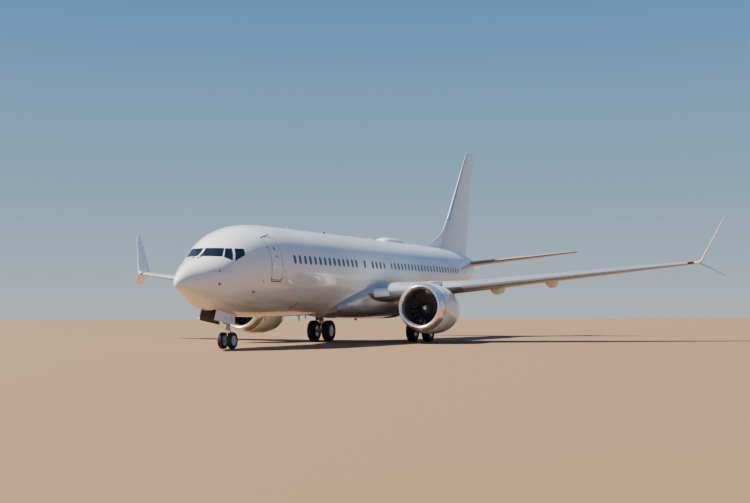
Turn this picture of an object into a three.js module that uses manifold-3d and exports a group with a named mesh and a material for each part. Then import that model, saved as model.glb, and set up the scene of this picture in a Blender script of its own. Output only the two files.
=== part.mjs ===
// Twin-engine, single-aisle airliner standing on its landing gear, at full size, in millimetres.
// Frame: nose towards -Y, tail towards +Y, port side towards +X, ground at Z = 0, origin midway along it.
// A station is a distance aft of the nose tip, and every piece is laid out as (x to port, station, height).
import * as THREE from 'three';
import { mergeVertices } from 'three/addons/utils/BufferGeometryUtils.js';
import Module from 'manifold-3d';

const wasm = await Module();
wasm.setup();

// Overall sizes and fits
const LENGTH = 39520;
const PITCH_RISE = 0.015; // the parked attitude: heights along the body grow by this share of the station
const SEAT = 0.3; // gap between a fixed piece and what carries it
const MOVING_GAP = 6; // gap round a piece that moves
const FAR = 3000; // reach of a cutting block past what it cuts
const SKY = 9000; // height above every piece of the wing
const NOTCH = 500; // distance from the middle where a cut in the fuselage's side starts
const DEGREE = Math.PI / 180;
const ROD_SIDES = 10;

// Fuselage sections: station, crown, belly, half width, widest point (heights before PITCH_RISE)
const BODY_SIDES = 32;
const BODY_ROWS = [
  [0, 2620, 2530, 41, 2570],
  [60, 2760, 2441, 122, 2579],
  [200, 2920, 2357, 236, 2601],
  [450, 3110, 2256, 375, 2643],
  [800, 3310, 2122, 561, 2700],
  [1200, 3500, 1979, 779, 2782],
  [1600, 3670, 1814, 957, 2847],
  [1900, 3820, 1669, 1074, 2876],
  [2200, 4070, 1569, 1193, 2896],
  [2600, 4370, 1484, 1342, 2960],
  [3000, 4590, 1421, 1475, 3040],
  [3500, 4790, 1360, 1610, 3130],
  [4000, 4930, 1310, 1700, 3200],
  [4600, 5050, 1270, 1780, 3260],
  [5400, 5130, 1230, 1850, 3300],
  [6400, 5170, 1210, 1880, 3310],
  [8000, 5170, 1200, 1880, 3310],
  [26000, 5170, 1200, 1880, 3310],
  [28000, 5170, 1300, 1860, 3330],
  [30000, 5150, 1620, 1760, 3390],
  [32000, 5100, 2080, 1540, 3520],
  [34000, 5010, 2590, 1230, 3720],
  [35500, 4900, 3020, 950, 3900],
  [37000, 4750, 3520, 600, 4120],
  [38000, 4630, 3920, 340, 4280],
  [38260, 4580, 4060, 250, 4320],
];
const RADOME_STATION = 1250;
const NOSE_SECTION_STATION = 6000;
const TAIL_CONE_STATION = 36300;
const TAIL_END = 38260;

// Side openings: station of the middle, sill height, width, height, corner radius
const DOOR_DEPTH = 60;
const ENTRY_DOORS = {
  entry_door: { station: 4980, sill: 2820, width: 860, height: 1830, corner: 170 },
  aft_door: { station: 31450, sill: 3190, width: 760, height: 1650, corner: 160 },
};
const CARGO_DOORS = {
  cargo_door_forward: { station: 8500, sill: 1650, width: 1220, height: 880, corner: 110 },
  cargo_door_aft: { station: 27000, sill: 1990, width: 1220, height: 840, corner: 110 },
};
const EXIT_STATIONS = { forward: 17020, aft: 18065 };
const EXIT = { sill: 3330, width: 510, height: 970, corner: 90, lift: 3, outset: 4 };

// Cockpit windows: side outline of one half of the band as station, height
const GLASS_DEPTH = 40;
const GLASS_SPAN = [1400, 3300];
const CENTRE_POST = 60;
const GLASS_OUTLINE = [
  [1350, 3700], [2090, 3690], [2440, 3510], [3070, 3780], [3130, 4050], [1350, 4040],
];

// Wing to body fairing: station, half width, top, bottom
const FAIRING_POWER = 2.6;
const FAIRING_ROWS = [
  [12300, 1300, 2000, 1430],
  [13500, 1750, 2600, 1330],
  [15000, 2010, 3050, 1250],
  [17000, 2110, 3200, 1210],
  [20500, 2110, 3150, 1210],
  [22300, 2000, 2900, 1310],
  [23600, 1700, 2500, 1450],
  [24600, 1250, 2150, 1660],
];

// Lifting surfaces: x, leading edge station, trailing edge station, their heights, thickness share
const WING_TIP = 16550;
const WING_ROWS = [
  [1500, 14366, 21790, 2419, 2410, 0.145],
  [5700, 16950, 21900, 2760, 2791, 0.125],
  [WING_TIP, 22726, 24456, 4006, 4068, 0.105],
];
const STABILIZER_ROWS = [
  [600, 34435, 37820, 4762, 4812, 0.1],
  [7100, 38010, 39500, 5590, 5612, 0.09],
  [7175, 38260, LENGTH, 5600, 5619, 0.05],
];
const WING_CAMBER = 0.014;
// Fin: height, leading edge station, trailing edge station, thickness share
const FIN_ROWS = [
  [5000, 30640, 36710, 0.1],
  [12440, 37098, 38734, 0.09],
  [12500, 37330, 38750, 0.05],
];
// Dorsal fillet: station, top, half width at its foot
const DORSAL_ROWS = [
  [29000, 5580, 50],
  [32200, 6800, 120],
  [33600, 6900, 130],
];
// Winglet blade and strake: x, height, leading and trailing edge station, cant in degrees, thickness share
const WINGLET_ROWS = [
  [WING_TIP + SEAT, 4006, 22726, 24456, 6, 0.105],
  [16720, 4030, 22880, 24440, 20, 0.1],
  [16820, 4090, 22985, 24415, 42, 0.09],
  [16895, 4190, 23070, 24400, 58, 0.085],
  [16985, 4380, 23180, 24420, 65, 0.08],
  [17440, 5390, 23830, 24640, 65, 0.08],
  [17922, 6430, 24500, 24870, 65, 0.08],
  [17952, 6490, 24630, 24900, 65, 0.06],
];
const STRAKE_ROWS = [
  [16640, 4040, 22950, 24400, -18, 0.08],
  [16900, 3930, 23120, 24450, -26, 0.08],
  [17500, 3625, 23760, 24740, -28, 0.07],
  [17920, 3400, 24250, 24930, -29, 0.06],
];

// Pieces cut out of the wing: x limits and chord shares
const PANEL_GAP = 3; // gap at the ends of a fixed panel
const SHARE_GAP = 0.0002; // gap along its front or rear edge, as a share of the chord
const SLAT = { from: 5950, to: 16250, share: 0.13 };
const FLAP_SHARE = 0.72;
const FLAPS = {
  inboard_flap: { from: 2180, to: 5350 },
  outboard_flap: { from: 5950, to: 12250 },
};
const AILERON = { from: 12650, to: 16050, share: 0.745 };
const SPOILER = { from: 6350, to: 10900, front: 0.605, rear: 0.695, depth: 45, inset: 14 };
const ELEVATOR = { from: 1250, to: 6900, share: 0.7 };
const RUDDER = { from: 5720, to: 12150, share: 0.69, roomBelow: 42, roomAbove: 16 };
const PIN_RADIUS = 16;
const PIN_FOOT = 48; // length of a pin inside the surface that it holds
const NOSE_FIT = 0.985; // radius of a control surface's nose as a share of half the local thickness
const ROOM_FIT = 1.03; // the same for the hollow round that nose, before the gap
const NOSE_OVERRUN = 300; // length of that nose past each end before it is cut off

// Flap track fairings under the wing: x; outline as share of length, half width, depth
const TRACK_STATIONS = [3450, 6700, 9450];
const TRACK_LENGTH = 3000;
const TRACK_AFT = 450;
const TRACK_ROWS = [
  [0, 20, 20], [0.15, 125, 170], [0.45, 190, 350], [0.75, 160, 340], [1, 15, 100],
];

// Engine: its own axis runs aft from the middle of the inlet
const ENGINE = { x: 4830, station: 13900, height: 1780, droop: 3 };
const ENGINE_SIDES = 32;
const LIP_PROFILE = [ // distance aft, radius, round the highlight from outside to inside
  [330, 1132], [160, 1088], [50, 1038], [0, 985], [45, 925], [160, 880], [330, 862],
];
const COWL_OUTSIDE = [[330 + SEAT, 1132], [700, 1182], [1300, 1218], [2050, 1208]];
const COWL_INSIDE = [[2050, 900], [1400, 900], [1300, 885], [330 + SEAT, 862]];
const SLEEVE_FRONT = 2050 + SEAT;
const SLEEVE_OUTSIDE = [[SLEEVE_FRONT, 1208], [2450, 1176], [2950, 1080], [3450, 938]];
const SLEEVE_INSIDE = [[3450, 926], [2800, 958], [SLEEVE_FRONT, 900]];
const CHEVRONS = 16;
const CHEVRON_LENGTH = 130;
const CORE_FRONT = 1380 + SEAT;
const CORE_PROFILE = [
  [CORE_FRONT, 0], [CORE_FRONT, 400], [1650, 560], [2400, 620], [3300, 540], [4050, 400],
  [4050, 385], [3880, 380], [3880, 270], [4350, 180], [4760, 0],
];
const VANES = { count: 8, from: 1560, to: 1760, thickness: 22, tip: 895, root: 480 };
const HUB_PROFILE = [[700, 0], [740, 65], [900, 180], [1110, 280], [1380, 300], [1380, 0]];
const HUB_SIDES = 18;
const BLADES = 18;
const BLADE_MIDDLE = 1220;
const BLADE_ROWS = [ // radius, chord, angle from the engine's axis, thickness
  [255, 190, 22, 26], [540, 240, 50, 15], [860, 265, 64, 8],
];
const PYLON_HALF_WIDTH = 170;
const PYLON_OUTLINE = [ // station, height
  [14900, 2650], [14900, 2950], [15700, 3050], [16700, 3080], [17600, 2970], [19400, 2560],
  [19300, 2330], [18300, 2060], [16900, 1780], [15900, 1780],
];

// Landing gear
const WHEEL_SIDES = 18;
const NOSE_GEAR = {
  station: 4030, tyre: 343, width: 190, spacing: 215, axle: 36, rim: 195,
  housing: 62, housingHalf: 112, piston: 52, cylinder: 78, cylinderFoot: 760, trunnion: 1720,
};
const MAIN_GEAR = {
  x: 2860, station: 19600, tyre: 565, width: 420, spacing: 430, axle: 70, rim: 280,
  housing: 120, housingHalf: 205, piston: 82, cylinder: 135, cylinderFoot: 1080, top: 2420, topX: 2960,
};
const TOW_FITTING = { half: 45, reach: 100, root: 45 };
const NOSE_BAY = { half: 330, from: 2350, to: 4400, roof: 1900 };
const NOSE_DOOR = { thickness: 26, hinged: 2600, from: 2300, to: 3970, drop: 450 };

// Satellite antenna fairing on the crown: station, half width, height above the crown
const DOME_ROWS = [
  [20900, 60, 10], [21150, 330, 150], [21800, 470, 255],
  [22900, 480, 260], [23800, 380, 170], [24300, 60, 10],
];

const COLOURS = {
  paint: { color: 0xf4f3f0, roughness: 0.28, metalness: 0 },
  belly: { color: 0xdedcd8, roughness: 0.35, metalness: 0 },
  bare: { color: 0xb9bfc6, roughness: 0.25, metalness: 0.9 },
  composite: { color: 0xcfd2d4, roughness: 0.45, metalness: 0.1 },
  glass: { color: 0x0d1420, roughness: 0.08, metalness: 0 },
  titanium: { color: 0x77706a, roughness: 0.4, metalness: 0.8 },
  blade: { color: 0x2a2c30, roughness: 0.35, metalness: 0.6 },
  strut: { color: 0xc8cacc, roughness: 0.4, metalness: 0.3 },
  rubber: { color: 0x191919, roughness: 0.85, metalness: 0 },
};
const materials = Object.fromEntries(
  Object.entries(COLOURS).map(([name, look]) => [name, new THREE.MeshStandardMaterial(look)]),
);

const at = (x, station, height) => new THREE.Vector3(x, station, height);
const mix = THREE.MathUtils.lerp;

// Solids and booleans
function solidFrom(points, triangles) {
  const volume = triangles.reduce(
    (sum, [a, b, c]) => sum + points[a].dot(points[b].clone().cross(points[c])), 0,
  );
  const facing = volume < 0 ? triangles.map(([a, b, c]) => [a, c, b]) : triangles;
  return new wasm.Manifold(new wasm.Mesh({
    numProp: 3,
    vertProperties: Float32Array.from(points.flatMap((point) => point.toArray())),
    triVerts: Uint32Array.from(facing.flat()),
  }));
}

function solidOf(geometry) {
  const bare = geometry.clone();
  bare.deleteAttribute('normal');
  bare.deleteAttribute('uv');
  const merged = mergeVertices(bare, 1e-4);
  const { position } = merged.attributes;
  const points = Array.from(
    { length: position.count }, (_, i) => new THREE.Vector3().fromBufferAttribute(position, i),
  );
  const triangles = [];
  for (let i = 0; i < merged.index.count; i += 3) {
    const corners = [0, 1, 2].map((k) => merged.index.getX(i + k));
    if (new Set(corners).size === 3) triangles.push(corners);
  }
  return solidFrom(points, triangles);
}

function geometryOf(solid) {
  const mesh = solid.getMesh();
  const geometry = new THREE.BufferGeometry();
  geometry.setAttribute('position', new THREE.BufferAttribute(mesh.vertProperties, mesh.numProp));
  geometry.setIndex(new THREE.BufferAttribute(mesh.triVerts, 1));
  geometry.computeVertexNormals();
  return geometry;
}

const union = (solids) => solids.reduce((sum, solid) => sum.add(solid));
const largest = (solid) => solid.decompose().reduce((a, b) => (a.volume() > b.volume() ? a : b));
const lowered = (solid, drop) => solid.translate([0, 0, -drop]);

// A skin through rings of equal length, closed by a fan at each end; faces split on their shorter diagonal
function loft(rings) {
  const sides = rings[0].length;
  const points = rings.flat();
  const triangles = [];
  for (let r = 0; r < rings.length - 1; r += 1) {
    for (let i = 0; i < sides; i += 1) {
      const a = r * sides + i;
      const b = r * sides + ((i + 1) % sides);
      const [c, d] = [a + sides, b + sides];
      const split = points[a].distanceTo(points[d]) <= points[b].distanceTo(points[c]);
      triangles.push(...(split ? [[a, b, d], [a, d, c]] : [[a, b, c], [b, d, c]]));
    }
  }
  [0, rings.length - 1].forEach((r) => {
    const middle = rings[r].reduce((sum, p) => sum.add(p), new THREE.Vector3()).divideScalar(sides);
    const centre = points.push(middle) - 1;
    for (let i = 0; i < sides; i += 1) {
      const a = r * sides + i;
      const b = r * sides + ((i + 1) % sides);
      triangles.push(r === 0 ? [b, a, centre] : [a, b, centre]);
    }
  });
  return solidFrom(points, triangles);
}

// A prism of a flat outline: plan outlines are (x, station), side outlines (station, height)
const VIEWS = {
  plan: new THREE.Matrix4(),
  side: new THREE.Matrix4().makeBasis(at(0, 1, 0), at(0, 0, 1), at(1, 0, 0)),
};
function prism(view, outline, from, to) {
  const shape = new THREE.Shape(outline.map(([a, b]) => new THREE.Vector2(a, b)));
  const geometry = new THREE.ExtrudeGeometry(shape, { depth: to - from, bevelEnabled: false });
  return solidOf(geometry.translate(0, 0, from).applyMatrix4(VIEWS[view]));
}

function block([x0, s0, z0], [x1, s1, z1]) {
  const geometry = new THREE.BoxGeometry(x1 - x0, s1 - s0, z1 - z0);
  return solidOf(geometry.translate((x0 + x1) / 2, (s0 + s1) / 2, (z0 + z1) / 2));
}

// A rod, plain or tapered, between two points
function rod(start, end, radius, endRadius = radius, sides = ROD_SIDES) {
  const length = start.distanceTo(end);
  const geometry = new THREE.CylinderGeometry(endRadius, radius, length, sides);
  const along = end.clone().sub(start).divideScalar(length);
  const turn = new THREE.Quaternion().setFromUnitVectors(at(0, 1, 0), along);
  const middle = start.clone().add(end).multiplyScalar(0.5);
  geometry.applyQuaternion(turn).translate(middle.x, middle.y, middle.z);
  return solidOf(geometry);
}

function ball(centre, radius) {
  return solidOf(new THREE.SphereGeometry(radius, 8, 6).translate(centre.x, centre.y, centre.z));
}

// A body turned about the Y axis from (distance along it, radius) points
function turned(profile, sides, matrix = new THREE.Matrix4()) {
  const points = profile.map(([along, radius]) => new THREE.Vector2(radius, along));
  return solidOf(new THREE.LatheGeometry(points, sides).applyMatrix4(matrix));
}

const closed = (profile) => [...profile, profile[0]];

function roundedOutline(middle, sill, width, height, corner) {
  const outline = [];
  const centres = [[1, 0], [1, 1], [-1, 1], [-1, 0]];
  centres.forEach(([side, top], quarter) => {
    for (let step = 0; step <= 2; step += 1) {
      const angle = (quarter - 1 + step / 2) * 90 * DEGREE;
      outline.push([
        middle + side * (width / 2 - corner) + corner * Math.cos(angle),
        sill + (top ? height - corner : corner) + corner * Math.sin(angle),
      ]);
    }
  });
  return outline;
}

// Fuselage skin
function rowAt(rows, station) {
  const next = Math.max(1, rows.findIndex((row) => row[0] >= station));
  const [a, b] = [rows[next - 1], rows[next]];
  const share = (station - a[0]) / (b[0] - a[0]);
  return a.map((value, column) => mix(value, b[column], share));
}

function bodyRing(station, grow) {
  const [, crown, belly, half, wide] = rowAt(BODY_ROWS, station);
  return Array.from({ length: BODY_SIDES }, (_, i) => {
    const angle = (2 * Math.PI * i) / BODY_SIDES;
    const reach = (Math.sin(angle) > 0 ? crown - wide : wide - belly) + grow;
    const height = wide + reach * Math.sin(angle) + PITCH_RISE * station;
    return at((half + grow) * Math.cos(angle), station, height);
  });
}

const BODY_JOINTS = [RADOME_STATION, NOSE_SECTION_STATION, TAIL_CONE_STATION];
const BODY_STATIONS = [...BODY_ROWS.map((row) => row[0]), ...BODY_JOINTS].sort((a, b) => a - b);
function bodySkin(from, to, grow = 0) {
  const between = BODY_STATIONS.filter((station) => station > from && station < to);
  return loft([from, ...between, to].map((station) => bodyRing(station, grow)));
}

const crownAt = (station) => rowAt(BODY_ROWS, station)[1] + PITCH_RISE * station;

// Half width of the body at a station and height
function sideAt(station, height) {
  const [, crown, belly, half, wide] = rowAt(BODY_ROWS, station);
  const above = height - PITCH_RISE * station - wide;
  const share = above / (above > 0 ? crown - wide : wide - belly);
  return half * Math.sqrt(1 - share * share);
}

// The nearest whole rows round a stretch of the body, so that its faces match the body's own
function wholeRows(from, to) {
  const before = BODY_STATIONS.filter((station) => station <= from).pop();
  return [before, BODY_STATIONS.find((station) => station >= to)];
}

// A panel let into the skin, and the recess that it lies in
function skinPanel(outline, wider, depth, span, [inner, outer]) {
  const [from, to] = wholeRows(...span);
  const panel = prism('side', outline, inner, outer)
    .intersect(bodySkin(from, to))
    .subtract(bodySkin(from, to, -depth));
  return { panel, recess: prism('side', wider, inner, outer).subtract(bodySkin(from, to, -depth - SEAT)) };
}

function doorPanel({ station, sill, width, height, corner }) {
  const gap = PANEL_GAP;
  const span = [station - width, station + width];
  return skinPanel(
    roundedOutline(station, sill, width, height, corner),
    roundedOutline(station, sill - gap, width + 2 * gap, height + 2 * gap, corner + gap),
    DOOR_DEPTH, span, [NOTCH, FAR],
  );
}

// Overwing exit: it swings about a line just outside its top edge
function exitPanel(station) {
  const { sill, width, height, corner, lift, outset } = EXIT;
  const span = wholeRows(station - width, station + width);
  const panel = prism('side', roundedOutline(station, sill, width, height, corner), NOTCH, FAR)
    .intersect(bodySkin(...span))
    .subtract(bodySkin(...span, -DOOR_DEPTH));
  const recess = prism('side', roundedOutline(
    station, sill - MOVING_GAP, width + 2 * MOVING_GAP, height + 3 * MOVING_GAP, corner + MOVING_GAP,
  ), NOTCH, FAR).subtract(bodySkin(...span, -DOOR_DEPTH - 4 * MOVING_GAP));
  const pivotHeight = sill + height + lift;
  const pivot = at(sideAt(station, pivotHeight) + outset, station, pivotHeight);
  return { panel, recess, pivot };
}

// Aerofoils: NACA four-digit thickness on a shallow arched mean line
const CHORD_SHARES = [0, 0.012, 0.05, 0.12, 0.25, 0.42, 0.6, 0.75, 0.88, 1];
const EDGE_HALF = 3;
const THICKNESS_TERMS = [-0.126, -0.3516, 0.2843, -0.1036];
const halfThickness = (share, ratio) => 5 * ratio * THICKNESS_TERMS.reduce(
  (sum, term, i) => sum + term * share ** (i + 1), 0.2969 * Math.sqrt(share),
);
const meanLine = (share, camber) => 4 * camber * share * (1 - share);

// A point of a section: side is 1 on the upper skin, -1 on the lower one and 0 on the mean line
function sectionPoint({ lead, trail, up, ratio, camber }, share, side) {
  const chord = trail.distanceTo(lead);
  const half = chord * halfThickness(share, ratio) + EDGE_HALF * share;
  return lead.clone().lerp(trail, share).addScaledVector(up, chord * meanLine(share, camber) + side * half);
}

function sectionRing(section) {
  const upper = CHORD_SHARES.map((share) => sectionPoint(section, share, 1)).reverse();
  const lower = CHORD_SHARES.slice(1).map((share) => sectionPoint(section, share, -1));
  return [...upper, ...lower];
}

const levelSection = ([x, lead, trail, leadHeight, trailHeight, ratio], camber) => ({
  lead: at(x, lead, leadHeight), trail: at(x, trail, trailHeight), up: at(0, 0, 1), ratio, camber,
});
const uprightSection = ([height, lead, trail, ratio]) => ({
  lead: at(0, lead, height), trail: at(0, trail, height), up: at(1, 0, 0), ratio, camber: 0,
});
function cantedSection([x, height, lead, trail, cant, ratio]) {
  const rise = PITCH_RISE * (trail - lead);
  const up = at(-Math.sin(cant * DEGREE), 0, Math.cos(cant * DEGREE));
  return { lead: at(x, lead, height), trail: at(x, trail, height + rise), up, ratio, camber: 0 };
}

// A row between two of a surface's sections, [place, lead, trail, ..., thickness ratio]. The thickness
// itself is in proportion, as the loft has it.
function surfaceRow(rows, place) {
  const row = rowAt(rows, place);
  const thickness = rowAt(rows.map((r) => [r[0], r.at(-1) * (r[2] - r[1])]), place)[1];
  return [...row.slice(0, -1), thickness / (row[2] - row[1])];
}

const wingSection = (x) => levelSection(surfaceRow(WING_ROWS, x), WING_CAMBER);
const stabilizerSection = (x) => levelSection(surfaceRow(STABILIZER_ROWS, x), 0);
const finSection = (height) => uprightSection(surfaceRow(FIN_ROWS, height));
const stationAt = (section, share) => mix(section.lead.y, section.trail.y, share);

// Plan outline of a strip between two chord shares; a share above 1 runs past the trailing edge
function strip(sectionOf, from, to, front, rear) {
  return [
    [from, stationAt(sectionOf(from), front)], [to, stationAt(sectionOf(to), front)],
    [to, stationAt(sectionOf(to), rear)], [from, stationAt(sectionOf(from), rear)],
  ];
}

// A hinge line through the mean line of two sections, with the half thickness at each end
function hingeLine(sectionOf, from, to, share) {
  const [start, end] = [from, to].map((place) => sectionPoint(sectionOf(place), share, 0));
  const [startHalf, endHalf] = [from, to].map((place) => {
    const section = sectionOf(place);
    return section.lead.distanceTo(section.trail) * halfThickness(share, section.ratio);
  });
  return { start, end, startHalf, endHalf, along: end.clone().sub(start).normalize() };
}

// Everything aft of a hinge line, in the plane of the surface
function aftRegion(view, { start, end }, grow) {
  const flat = (p) => (view === 'plan' ? [p.x, p.y] : [p.y, p.z]);
  const [a, b] = [flat(start), flat(end)];
  const length = Math.hypot(b[0] - a[0], b[1] - a[1]);
  const along = [(b[0] - a[0]) / length, (b[1] - a[1]) / length];
  const aft = view === 'plan' ? [-along[1], along[0]] : [along[1], -along[0]];
  const corner = (p, side, distance) => [0, 1].map((i) => p[i] + along[i] * side * FAR + aft[i] * distance);
  return prism(view, [
    corner(a, -1, -grow), corner(b, 1, -grow), corner(b, 1, FAR), corner(a, -1, FAR),
  ], -FAR, SKY);
}

// What lies between the ends of a hinge: cut square to it, or level in the side view
function hingeSlab(view, { start, end, along }, before, after) {
  if (view === 'side') return block([-FAR, 0, start.z - before], [FAR, 2 * LENGTH, end.z + after]);
  const first = start.clone().addScaledVector(along, -before);
  const last = end.clone().addScaledVector(along, after);
  return rod(first, last, FAR, FAR, 4);
}

// A control surface with a round nose on its hinge line, and the room that it needs in the surface ahead.
// The room runs past the ends by `before` and `after`, and a pin reaches across each.
function controlSurface(full, view, hinge, before = MOVING_GAP, after = MOVING_GAP) {
  const { start, end, startHalf, endHalf, along } = hinge;
  const ends = [start.clone().addScaledVector(along, -NOSE_OVERRUN),
    end.clone().addScaledVector(along, NOSE_OVERRUN)];
  const nose = rod(...ends, NOSE_FIT * startHalf, NOSE_FIT * endHalf, 20);
  const noseRoom = rod(...ends, ROOM_FIT * startHalf + MOVING_GAP, ROOM_FIT * endHalf + MOVING_GAP, 20);
  const lean = view === 'side' ? along.z : 1;
  const pins = [[start, -1, before], [end, 1, after]].map(([at0, side, gap]) => {
    const tip = at0.clone().addScaledVector(along, (side * (gap - PIN_RADIUS - SEAT)) / lean);
    const foot = at0.clone().addScaledVector(along, -side * PIN_FOOT);
    return ball(tip, PIN_RADIUS).add(rod(foot, tip, PIN_RADIUS, PIN_RADIUS, 12));
  });
  const piece = full.intersect(aftRegion(view, hinge, 0)).add(nose).intersect(hingeSlab(view, hinge, 0, 0));
  const room = aftRegion(view, hinge, MOVING_GAP).add(noseRoom)
    .intersect(hingeSlab(view, hinge, before, after));
  return { piece: union([piece, ...pins]), room };
}

// Wing and what moves on it
const wingFull = loft(WING_ROWS.map((row) => sectionRing(levelSection(row, WING_CAMBER))));

function spoilerPanel() {
  const { from, to, front, rear, depth, inset } = SPOILER;
  const [start, end] = [from, to].map((x) => sectionPoint(wingSection(x), front, 1).add(at(0, 0, -inset)));
  const along = end.clone().sub(start).setZ(0).normalize();
  const aft = at(-along.y, along.x, 0);
  const lengths = [from, to].map((x) => {
    const section = wingSection(x);
    return (rear - front) * (section.trail.y - section.lead.y) * along.x;
  });
  const outline = (side, fore, back) => [
    [start, -1, -fore], [end, 1, -fore], [end, 1, lengths[1] + back], [start, -1, lengths[0] + back],
  ].map(([p, sign, distance]) => {
    const corner = p.clone().addScaledVector(along, sign * side).addScaledVector(aft, distance);
    return [corner.x, corner.y];
  });
  const panel = prism('plan', outline(0, inset, 0), 0, SKY)
    .intersect(wingFull).subtract(lowered(wingFull, depth));
  const recess = prism('plan', outline(MOVING_GAP, inset + 2 * MOVING_GAP, 2 * MOVING_GAP), 0, SKY)
    .subtract(lowered(wingFull, depth + MOVING_GAP));
  const pinRadius = inset - 3;
  const pins = [[start, -1], [end, 1]].map(([p, side]) => {
    const outward = end.clone().sub(start).normalize();
    return ball(p.clone().addScaledVector(outward, side * (MOVING_GAP - SEAT - pinRadius)), pinRadius);
  });
  return { piece: union([panel, ...pins]), room: recess, start, end };
}

function trackFairing(x) {
  const section = wingSection(x);
  const aftEnd = section.trail.y + TRACK_AFT;
  const rings = TRACK_ROWS.map(([share, half, depth]) => {
    const station = aftEnd - TRACK_LENGTH * (1 - share);
    const chordShare = Math.min(1, (station - section.lead.y) / (section.trail.y - section.lead.y));
    const top = sectionPoint(section, chordShare, -1).z + 30 * (1 - share);
    return Array.from({ length: 8 }, (_, i) => {
      const angle = (2 * Math.PI * i) / 8;
      const drop = Math.sin(angle) > 0 ? 15 : depth;
      return at(x + half * Math.cos(angle), station, top - 15 + drop * Math.sin(angle));
    });
  });
  return loft(rings);
}

// Engine solids, turned about the engine's axis and then set in place
const engineMatrix = new THREE.Matrix4()
  .makeRotationX(-ENGINE.droop * DEGREE)
  .setPosition(ENGINE.x, ENGINE.station, ENGINE.height);
const engineAxis = at(0, 1, 0).transformDirection(engineMatrix);

function chevronNotches() {
  const width = (2 * Math.PI * 935) / CHEVRONS;
  return Array.from({ length: CHEVRONS }, (_, i) => {
    const shape = new THREE.Shape([
      new THREE.Vector2(-width / 2, 3460), new THREE.Vector2(width / 2, 3460),
      new THREE.Vector2(0, 3450 - CHEVRON_LENGTH),
    ]);
    const geometry = new THREE.ExtrudeGeometry(shape, { depth: 300, bevelEnabled: false });
    geometry.translate(0, 0, 800);
    const turn = new THREE.Matrix4().makeRotationY(((i + 0.5) * 2 * Math.PI) / CHEVRONS);
    return solidOf(geometry.applyMatrix4(turn).applyMatrix4(engineMatrix));
  });
}

function coreSolid() {
  const body = turned(CORE_PROFILE, ENGINE_SIDES, engineMatrix);
  const vanes = Array.from({ length: VANES.count }, (_, i) => {
    const geometry = new THREE.BoxGeometry(VANES.thickness, VANES.to - VANES.from, VANES.tip - VANES.root)
      .translate(0, (VANES.from + VANES.to) / 2, (VANES.tip + VANES.root) / 2);
    const turn = new THREE.Matrix4().makeRotationY(2 * Math.PI * (i / VANES.count + 0.5 / ENGINE_SIDES));
    return solidOf(geometry.applyMatrix4(turn).applyMatrix4(engineMatrix));
  });
  return union([body, ...vanes]);
}

function fanSolid() {
  const blade = (i) => {
    const spin = (2 * Math.PI * i) / BLADES;
    const radial = at(Math.sin(spin), 0, Math.cos(spin));
    const around = at(Math.cos(spin), 0, -Math.sin(spin));
    return loft(BLADE_ROWS.map(([radius, chord, angle, thickness]) => {
      const [sin, cos] = [Math.sin(angle * DEGREE), Math.cos(angle * DEGREE)];
      const chordWise = around.clone().multiplyScalar(sin).add(at(0, cos, 0));
      const thick = around.clone().multiplyScalar(cos).add(at(0, -sin, 0));
      const middle = radial.clone().multiplyScalar(radius).add(at(0, BLADE_MIDDLE, 0));
      return [[-0.5, 0], [-0.1, 0.5], [0.5, 0], [-0.1, -0.5]].map(([c, t]) => middle.clone()
        .addScaledVector(chordWise, c * chord).addScaledVector(thick, t * thickness));
    }));
  };
  return union([turned(HUB_PROFILE, HUB_SIDES), ...Array.from({ length: BLADES }, (_, i) => blade(i))]);
}

// A solid with the seat gap above it, below it and ahead of it
const seatRoom = (solid) => union([
  solid, solid.translate([0, 0, SEAT]), solid.translate([0, 0, -SEAT]), solid.translate([0, -SEAT, 0]),
]);

function nacelleSolids() {
  const wingRoom = seatRoom(wingFull);
  const grown = ([along, radius]) => [along, radius > 0 ? radius + SEAT : 0];
  const grownCore = turned(CORE_PROFILE.map(grown), ENGINE_SIDES, engineMatrix);
  const envelope = turned([
    [0, 0], ...COWL_OUTSIDE.map(grown),
    [SLEEVE_FRONT + SEAT, SLEEVE_OUTSIDE[0][1]], [SLEEVE_FRONT + SEAT, 0],
  ], ENGINE_SIDES, engineMatrix);
  const pylon = prism('side', PYLON_OUTLINE, ENGINE.x - PYLON_HALF_WIDTH, ENGINE.x + PYLON_HALF_WIDTH)
    .subtract(envelope).subtract(grownCore).subtract(wingRoom);
  const slot = block(
    [ENGINE.x - PYLON_HALF_WIDTH - SEAT, ENGINE.station, ENGINE.height],
    [ENGINE.x + PYLON_HALF_WIDTH + SEAT, ENGINE.station + 5000, ENGINE.height + 2000],
  );
  const sleeve = union([turned(closed([...SLEEVE_OUTSIDE, ...SLEEVE_INSIDE]), ENGINE_SIDES, engineMatrix)])
    .subtract(slot).subtract(wingRoom).subtract(union(chevronNotches()));
  const cowl = turned(closed([...COWL_OUTSIDE, ...COWL_INSIDE]), ENGINE_SIDES, engineMatrix)
    .subtract(wingRoom);
  return {
    inlet_lip: [turned(closed(LIP_PROFILE), ENGINE_SIDES, engineMatrix), materials.bare],
    fan_cowl: [cowl, materials.paint],
    reverser_sleeve: [largest(sleeve), materials.paint],
    engine_core: [coreSolid(), materials.titanium],
    pylon: [largest(pylon), materials.paint],
  };
}

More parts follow.
